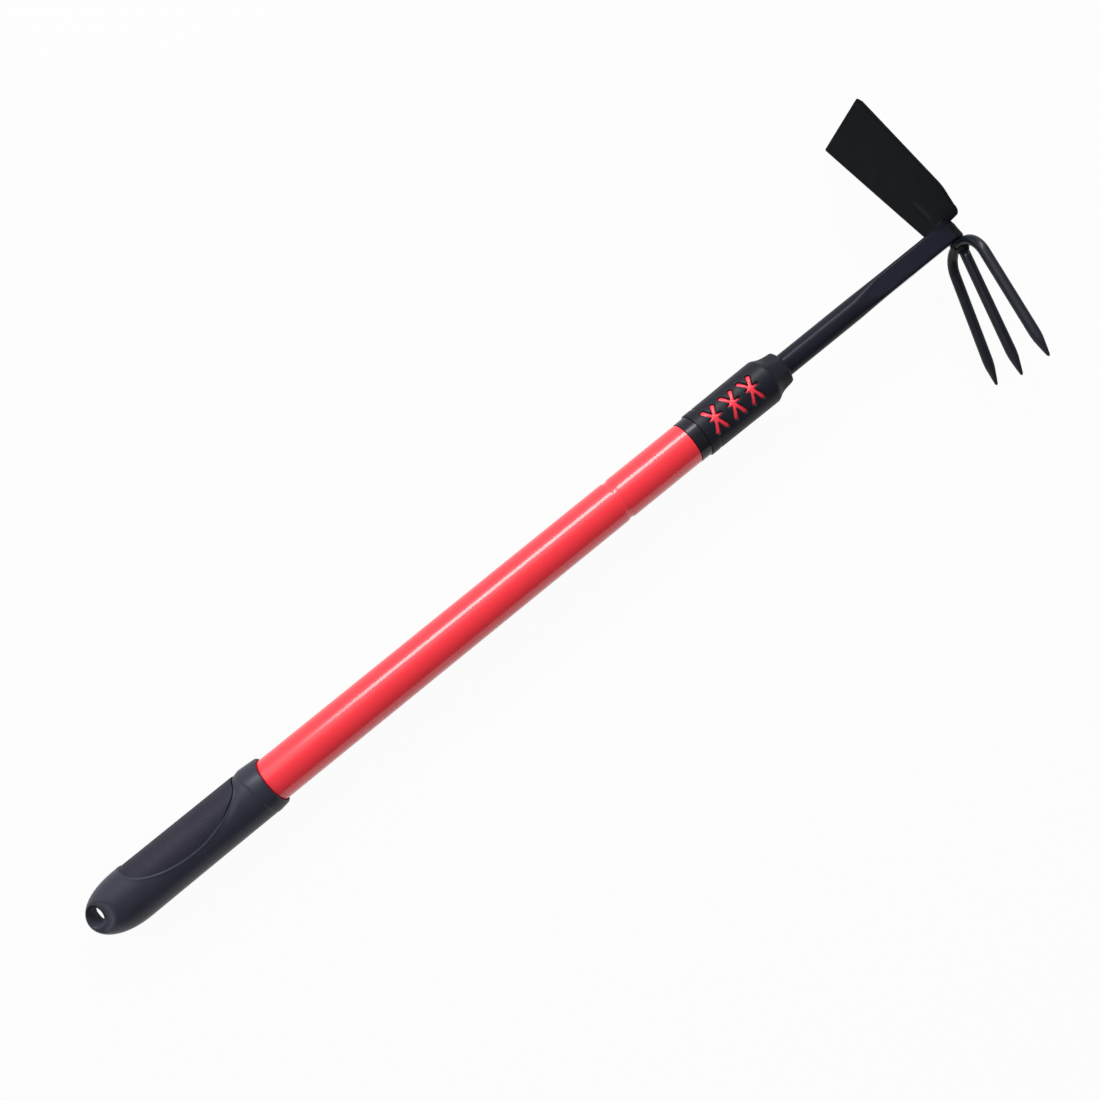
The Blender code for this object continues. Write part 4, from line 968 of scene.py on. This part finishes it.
def neck_mesh():
    """The inner tube, from its guide bush to its pressed end."""
    rounding = EDGE_ROUNDING
    press_end = press_start + PRESS_RAMP
    places = (*np.linspace(neck_rear, press_start, 14),
              *stations((press_start + PRESS_STEP, PRESS_STEP), end=press_end),
              *np.linspace(press_end, neck_front - rounding, 10))
    rings = [neck_ring(x) for x in places]
    rings += [neck_ring(neck_front - rounding / 3, 0.3 * rounding), neck_ring(neck_front, rounding)]
    rings += [neck_ring(x, NECK_WALL) for x in (neck_front, neck_rear)]
    return skin(rings, joined=True)


def blade_half_width(along, root_half, corner):
    """The blade's width to one side of its middle, at a distance from its root edge."""
    past_mid = (along - BLADE_MID_AT) / (BLADE_LENGTH - BLADE_MID_AT)
    past_root = np.maximum(along - corner, 0.0) / (BLADE_MID_AT - corner)
    half = softer_min(between(BLADE_MID_HALF, BLADE_EDGE_HALF, past_mid),
                      between(root_half, BLADE_MID_HALF, past_root), BLADE_KINK_BLEND)
    return half - round_off(along, corner) - round_off(BLADE_LENGTH - along, BLADE_TIP_CORNER)


def blade_spots(along, across, depth):
    """Points of the blade in the handle frame; depth runs from its back to its front."""
    x = tab_x + depth - along * sin(BLADE_LEAN)
    y = np.full_like(across, BLADE_ROOT_AT + along * cos(BLADE_LEAN))
    return np.column_stack((x, y, across))


def trough(along, across, half_width, rise):
    """How strongly the pressed trough shows at a spot of the blade."""
    start = smooth_step(along, TROUGH_START + rise[0], TROUGH_START + rise[1])
    fall = smooth_step(along, TROUGH_END - TROUGH_FALL, TROUGH_END)
    return bell(across - TROUGH_AT, half_width) * start * (1 - fall)


def tab_mesh():
    """The blade's tab, on the inner tube's end face."""
    low = -PRESSED_HALF_Y
    half = PRESSED_HALF_Z
    rings = []
    for y, inset in ((low, TAB_ROUNDING), (low + TAB_ROUNDING, 0.0), (BLADE_ROOT_AT + TAB_LAP, 0.0)):
        back = tab_x + inset
        front = tab_x + BLADE_THICKNESS - inset
        rings.append([(back, y, -half), (back, y, half), (front, y, half), (front, y, -half)])
    return skin(rings)


def blade_mesh():
    """The hoe blade: tab, round root corners, a shallow trough and a bevelled cutting edge."""
    root = BLADE_ROOT_CORNER * (1 - np.cos(np.linspace(0.06, pi / 2, 12)))
    bevel_start = BLADE_LENGTH - BLADE_BEVEL
    tip = BLADE_LENGTH - BLADE_TIP_CORNER * (1 - np.sin(np.linspace(0, 1.5, 7)))
    places = np.concatenate((root, *(np.arange(*run) for run in BLADE_RUNS),
                             bevel_start + np.array((-0.0005, 0.0, 0.0005, 0.0015)), tip))
    shares = np.linspace(-1.0, 1.0, 61)
    rings = []
    for along in places:
        bevel = np.clip((along - bevel_start) / BLADE_BEVEL, 0, 1)
        thick = between(BLADE_THICKNESS, BLADE_EDGE_THICKNESS, bevel)
        half = np.where(shares > 0.0, blade_half_width(along, *UPPER_ROOT),
                        blade_half_width(along, *LOWER_ROOT))
        across = shares * half
        inward = round_off(half - np.abs(across), BLADE_EDGE_ROUNDING)
        inward *= min(1.0, thick / 2 / BLADE_EDGE_ROUNDING)
        dent = TROUGH_DEPTH * trough(along, across, TROUGH_HALF_WIDTH, TROUGH_RISE)
        back = blade_spots(along, across, inward + dent)
        front = blade_spots(along, across, thick - inward + dent)
        rings.append(np.concatenate((back, front[::-1])))
    mesh = join(skin(rings), tab_mesh())
    # Painted highlight: each point is marked for the lighter streak along the trough
    streak = mesh.attributes.new("trough_painted_highlight", "FLOAT", "POINT")
    for vertex, mark in zip(mesh.vertices, streak.data):
        strength = trough(vertex.co.y - BLADE_ROOT_AT, vertex.co.z, HIGHLIGHT_STREAK_HALF_WIDTH, HIGHLIGHT_STREAK_RISE)
        mark.value = HIGHLIGHT_STREAK_SHARE * float(strength)
    return mesh


def fork_spots(along, across, depth):
    """Points of the fork's leaning plane in the handle frame."""
    x = crown_x - along * sin(FORK_LEAN) + depth * cos(FORK_LEAN)
    y = crown_y - along * cos(FORK_LEAN) - depth * sin(FORK_LEAN)
    return np.column_stack((x, y, across))


def rod_ring(along, across, heading, half_width=ROD_R, half_depth=ROD_R):
    """A ring of a rod in the fork's plane, square to its heading."""
    turn = np.arange(ROD_SIDES) * tau / ROD_SIDES
    shift = half_width * np.cos(turn)
    return fork_spots(along - shift * sin(heading), across + shift * cos(heading),
                      half_depth * np.sin(turn))


def tine_rings(length, start, base_across, splay, root_r):
    """Rings of a straight tine from its tip back to a start."""
    at, wide, deep = zip(*POINT_SHAPE)
    rings = []

    def add(along, half_width, half_depth):
        across = base_across + (along - start) * tan(splay)
        rings.append(rod_ring(along, across, splay, half_width, half_depth))

    for share in np.linspace(0, 1.4, 22):
        along = length - POINT_LENGTH * share
        add(along, ROD_R * np.interp(share, at, wide), ROD_R * np.interp(share, at, deep))
    rest = along - start
    for share in np.linspace(0.05, 1.0, 12):
        thick = between(ROD_R, root_r, share)
        add(start + rest * (1 - share), thick, thick)
    return rings


def outer_tines_mesh():
    """One bent rod: the crown across the tube's end and the two outer tines."""
    bend = pi / 2 - TINE_SPLAY
    across_end = CROWN_HALF + TINE_BEND * sin(bend)
    along_end = TINE_BEND * (1 - cos(bend))
    upper = tine_rings(TINE_LENGTH, along_end, across_end, TINE_SPLAY, ROD_R)
    for turn in bend * np.arange(TINE_BEND_STEPS - 1, -1, -1) / TINE_BEND_STEPS:
        upper.append(rod_ring(TINE_BEND * (1 - cos(turn)),
                              CROWN_HALF + TINE_BEND * sin(turn), pi / 2 - turn))
    upper.append(rod_ring(0.0, 0.0, pi / 2))
    # A mirrored ring runs the other way round
    order = [(ROD_SIDES // 2 - j) % ROD_SIDES for j in range(ROD_SIDES)]
    lower = np.array(upper[-2::-1])[:, order] * (1.0, 1.0, -1.0)
    return skin(np.concatenate((upper, lower)))


def middle_tine_mesh():
    """The middle tine, a little thinner at its root."""
    return skin(tine_rings(MIDDLE_TINE_LENGTH, ROD_R + GAP, MIDDLE_ACROSS, MIDDLE_SPLAY, MIDDLE_ROOT_R))


def arc_section(first, last, bulge, heel, count=9):
    """A weld's section: a heel and a face from first to last that bulges away from it."""
    first, last, heel = np.array((first, last, heel))
    out = (first + last) / 2 - heel
    out /= np.linalg.norm(out)
    t = np.linspace(0, 1.0, count)[:, None]
    return np.vstack((heel, between(first, last, t) + out * bulge * 4 * t * (1 - t)))


def bead_mesh(section, start, end, seed, placed=lambda spot, run: (*spot, run)):
    """A weld bead: a section swept along a run, with the lapped ripples of a weld."""
    steps = max(12, int(abs(end - start) / RIPPLE_PITCH * 6))
    heel = section[0]
    rings = []
    for share in np.arange(steps + 1) / steps:
        run = between(start, end, share)
        lap = (run / RIPPLE_PITCH + seed) % 1.0
        ends = sqrt(max(0.0, 1 - abs(2 * share - 1) ** 8))
        ripple = 1 - RIPPLE_DEPTH * (1 - sin(pi * lap)) + RIPPLE_DRIFT * sin(9 * share + seed)
        size = between(BEAD_END_SIZE, 1, ends) * ripple
        rings.append([placed(heel + (point - heel) * size, run) for point in section])
    return skin(rings)


def blade_weld_mesh():
    """The fillet between the inner tube's side and the blade's back."""
    foot = PRESSED_HALF_Y + TOUCH
    near_x = tab_x - TOUCH - (foot - BLADE_ROOT_AT) * sin(BLADE_LEAN)
    section = arc_section((near_x - WELD_LEG, foot), (near_x, foot + WELD_LEG), FILLET_BULGE,
                          (near_x, foot))
    reach = PRESSED_HALF_Z - BLADE_WELD_INSET
    return bead_mesh(section, -reach, reach, 0.2)


def end_weld_mesh(side):
    """The bead over the seam of the tube's end and the tab, which laps over the tab's edge."""
    foot = PRESSED_HALF_Z + 0.2 * GAP
    low = foot - WELD_DROP
    front = tab_x + BLADE_THICKNESS + WELD_OVER_EDGE
    section = arc_section((tab_x - WELD_ON_TUBE, foot), (front, low), WELD_BULGE,
                          (tab_x + BLADE_THICKNESS / 2, low - GAP))
    return bead_mesh(section, SEAM_START, SEAM_END, 0.5 * side,
                     lambda spot, y: (spot[0], y, side * spot[1]))


def crown_weld_mesh():
    """The fillets between the inner tube's lower side and the crown, behind and ahead of it."""
    foot = -(PRESSED_HALF_Y + TOUCH)
    sunk = foot - 0.2 * ROD_R
    rear_x = crown_x - 0.5 * ROD_R
    behind = arc_section((rear_x - WELD_LEG, foot), (crown_x - 0.99 * ROD_R, crown_y + 0.15 * ROD_R),
                         CROWN_BULGE, (rear_x, sunk))
    high = (tab_x + BLADE_THICKNESS + 0.0002, -PRESSED_HALF_Y + 0.0012)
    before = arc_section((crown_x + 0.98 * ROD_R, crown_y + 0.25 * ROD_R), high, CROWN_BULGE,
                         (crown_x, sunk))
    reach = PRESSED_HALF_Z - CROWN_WELD_INSET
    return join(bead_mesh(behind, -reach, reach, 0.7), bead_mesh(before, -reach, reach, 0.3))


def middle_weld_mesh():
    """The bead round the middle tine's root."""
    inner = MIDDLE_ROOT_R + TOUCH
    turn = np.arange(ROOT_BEAD_SIDES) * tau / ROOT_BEAD_SIDES
    rings = []
    for along, height in ROOT_BEAD:
        lumpy = inner + height * (1 + 0.14 * np.sin(5 * turn + 0.8))
        rings.append(fork_spots(0.75 * ROD_R + along, MIDDLE_ACROSS + lumpy * np.cos(turn),
                                lumpy * np.sin(turn)))
    return skin(rings, joined=True)


def make_pieces():
    """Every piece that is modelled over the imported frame."""
    rods = tine_paint()
    welds = weld_paint()
    # The hang hole's wall takes a lighter copy of the grip's plastic, painted light
    finish("moulded_grip", grip_mesh(), "handle", "grip_plastic", "grip_sleeve", grip_plastic(),
           hole_wall_painted_light())
    finish("ribbed_pad", pad_mesh(), "handle", "pad_rubber", "grip_pad", pad_rubber())
    finish("red_tube", tube_mesh(), "handle", "red_paint", "outer_tube", red_paint())
    finish("gloss_lock_body", lock_body_mesh(), "handle", "lock_plastic", "lock_body", lock_plastic())
    finish("nut_rubber_sleeve", sleeve_mesh(), "nut", "sleeve_rubber", "nut_sleeve", sleeve_rubber())
    finish("red_nut_core", core_mesh(), "nut", "red_plastic", "lock_nut", red_plastic())
    finish("black_inner_tube", neck_mesh(), "head", "black_paint", "inner_tube", black_paint())
    finish("hoe_blade", blade_mesh(), "head", "blade_paint", "blade", blade_paint())
    finish("outer_fork_tines", outer_tines_mesh(), "head", "tine_paint", "outer_tines", rods)
    finish("middle_fork_tine", middle_tine_mesh(), "head", "tine_paint", "middle_tine", rods)
    finish("blade_fillet", blade_weld_mesh(), "head", "weld_paint", "blade_weld", welds)
    finish("end_bead_upper", end_weld_mesh(1.0), "head", "weld_paint", "end_weld_upper", welds)
    finish("end_bead_lower", end_weld_mesh(-1.0), "head", "weld_paint", "end_weld_lower", welds)
    finish("crown_fillet", crown_weld_mesh(), "head", "weld_paint", "crown_weld", welds)
    finish("tine_root_bead", middle_weld_mesh(), "head", "weld_paint", "middle_tine_weld", welds)


def dress_inner_nodes():
    """Give the pieces inside the handle their finishes."""
    finishes = {
        "tube_plug": plain_plastic("grey_plug_plastic", (0.045, 0.045, 0.05)),
        "clamp_ring": plain_plastic("white_clamp_plastic", (0.5, 0.5, 0.47)),
        "wiper_ring": plain_plastic("black_wiper_rubber", (0.012, 0.012, 0.014)),
        "guide_bush": plain_plastic("grey_bush_plastic", (0.28, 0.28, 0.27)),
        "bush_pin": pin_steel(),
    }
    for node, mat in finishes.items():
        data = frame["nodes"][node].data
        data.materials.clear()
        data.materials.append(mat)


# Light. The tool lies below a long soft box on the blade's side, in a room that is bright there
# and dim on the other side.
KEY_ANGLE = radians(46.0)  # from straight up towards the blade's side
KEY_DISTANCE = 1.2
KEY_WIDTH = 0.32
KEY_POWER = 9.0  # watts for each metre of the box
# The box's parts: start and end along the handle, and share of the full power
KEY_PARTS = ((-0.12, -0.07, 0.2), (-0.07, -0.02, 0.5), (-0.02, 0.03, 0.8), (0.03, 1.4, 1.0))
# Brightness of the room by the share of the way from its dark side to its bright side
ROOM = ((0.0, 0.2), (0.15, 0.32), (0.4, 0.46), (0.52, 0.5), (0.62, 0.75), (0.7, 1.35),
        (0.88, 1.35), (1.0, 0.8))
FLOOR_HALF = 14.0
FLOOR_BELOW = 0.0002  # how far the floor lies under the tool
FLOOR_COLOUR = (0.5, 0.5, 0.5, 1.0)
FLOOR_WHITE_SHARE = 0.955  # share of the floor that shows as plain white
BACKDROP = (0.97, 0.97, 0.97, 1.0)  # colour of the backdrop behind the floor
BACKDROP_TOP = 0.08  # reflections show it up to this height over the horizon


def make_key_light():
    """The long soft box in line with the handle, which fades out towards the grip."""
    for i, (start, end, share) in enumerate(KEY_PARTS):
        lamp = bpy.data.lights.new(f"key_box_{i}", "AREA")
        lamp.shape = "RECTANGLE"
        lamp.size = end - start
        lamp.size_y = KEY_WIDTH
        lamp.energy = KEY_POWER * share * (end - start)
        box = add_object(f"key_box_{i}", lamp)
        middle = Matrix.Translation(((start + end) / 2, 0.0, 0.0))
        lean = Matrix.Rotation(-KEY_ANGLE, 4, "X")
        box.matrix_world = handle_place @ middle @ lean @ Matrix.Translation((0.0, 0.0, KEY_DISTANCE))
        box.visible_camera = False


def make_room():
    """A world that is bright on the blade's side and dim on the other, behind a pale backdrop."""
    world = bpy.data.worlds.new("studio_room")
    world.use_nodes = True
    bpy.context.scene.world = world
    tree = world.node_tree
    coords = add_node(tree, "ShaderNodeTexCoord").outputs["Generated"]
    split = add_node(tree, "ShaderNodeSeparateXYZ", {"Vector": coords}).outputs
    side = mapped(tree, split["Y"], 0.0, 1.0, -1.0, 1.0)
    ramp = add_node(tree, "ShaderNodeValToRGB", {"Fac": side})
    stops = ramp.color_ramp.elements
    stops.remove(stops[1])
    for i, (position, level) in enumerate(ROOM):
        stop = stops[0] if i == 0 else stops.new(position)
        stop.position = position
        stop.color = (level, level, 1.03 * level, 1.0)
    low = mapped(tree, split["Z"], 1.0, 0.0, 0.0, BACKDROP_TOP)
    path = add_node(tree, "ShaderNodeLightPath").outputs
    passing = combined(tree, "MAXIMUM", path["Is Glossy Ray"], path["Is Transmission Ray"])
    seen = combined(tree, "MAXIMUM", path["Is Camera Ray"], combined(tree, "MULTIPLY", passing, low))
    shown = mixed(tree, seen, ramp.outputs["Color"], BACKDROP)
    feed(tree, tree.nodes["Background"], {"Color": shown})


def make_floor():
    """A plain pale floor, which shows white and keeps a faint shadow of the tool."""
    mat = bpy.data.materials.new("pale_floor")
    mat.use_nodes = True
    tree = mat.node_tree
    shader = tree.nodes["Principled BSDF"]
    feed(tree, shader, {"Base Color": FLOOR_COLOUR, "Roughness": 0.9})
    glow = add_node(tree, "ShaderNodeEmission", {"Strength": 1.0})
    path = add_node(tree, "ShaderNodeLightPath").outputs
    seen = combined(tree, "MAXIMUM", path["Is Camera Ray"], path["Is Glossy Ray"],
                    path["Is Transmission Ray"])
    share = combined(tree, "MULTIPLY", seen, FLOOR_WHITE_SHARE)
    blend = add_node(tree, "ShaderNodeMixShader", {0: share, 1: shader.outputs[0], 2: glow.outputs[0]})
    feed(tree, tree.nodes["Material Output"], {"Surface": blend.outputs[0]})
    mesh = bpy.data.meshes.new("floor")
    level = float(cad_box[0][2]) - FLOOR_BELOW
    signs = ((-1, -1), (1, -1), (1, 1), (-1, 1))
    mesh.from_pydata([(FLOOR_HALF * x, FLOOR_HALF * y, level) for x, y in signs], [], [(0, 1, 2, 3)])
    mesh.materials.append(mat)
    add_object("floor", mesh)


# Camera. It stands over the handle, turned so that the handle rises to the right.
CAMERA_STATION = 0.255  # along the handle, from the butt's tip
CAMERA_SIDE = 0.00214
CAMERA_HEIGHT = 0.5188
CAMERA_PITCH = radians(5.4)  # how far it looks ahead of straight down
TOOL_ROLL = radians(3.5)  # how far the tool is rolled under it
HANDLE_TURN = radians(39.0)  # the handle's angle in the picture
LENS = 31.52


def make_camera():
    """The camera at the photograph's viewing angle."""
    data = bpy.data.cameras.new("photo_camera")
    data.lens = LENS
    data.sensor_width = 36.0
    data.clip_start = 0.01
    camera = add_object("photo_camera", data)
    roll = Matrix.Rotation(TOOL_ROLL, 4, "X")
    spot = Matrix.Translation((CAMERA_STATION, CAMERA_SIDE, CAMERA_HEIGHT))
    turns = Matrix.Rotation(-CAMERA_PITCH, 4, "Y") @ Matrix.Rotation(-HANDLE_TURN, 4, "Z")
    camera.matrix_world = handle_place @ roll @ spot @ turns
    bpy.context.scene.camera = camera


make_pieces()
dress_inner_nodes()
make_key_light()
make_room()
make_floor()
make_camera()
bpy.context.scene.view_settings.view_transform = "Standard"
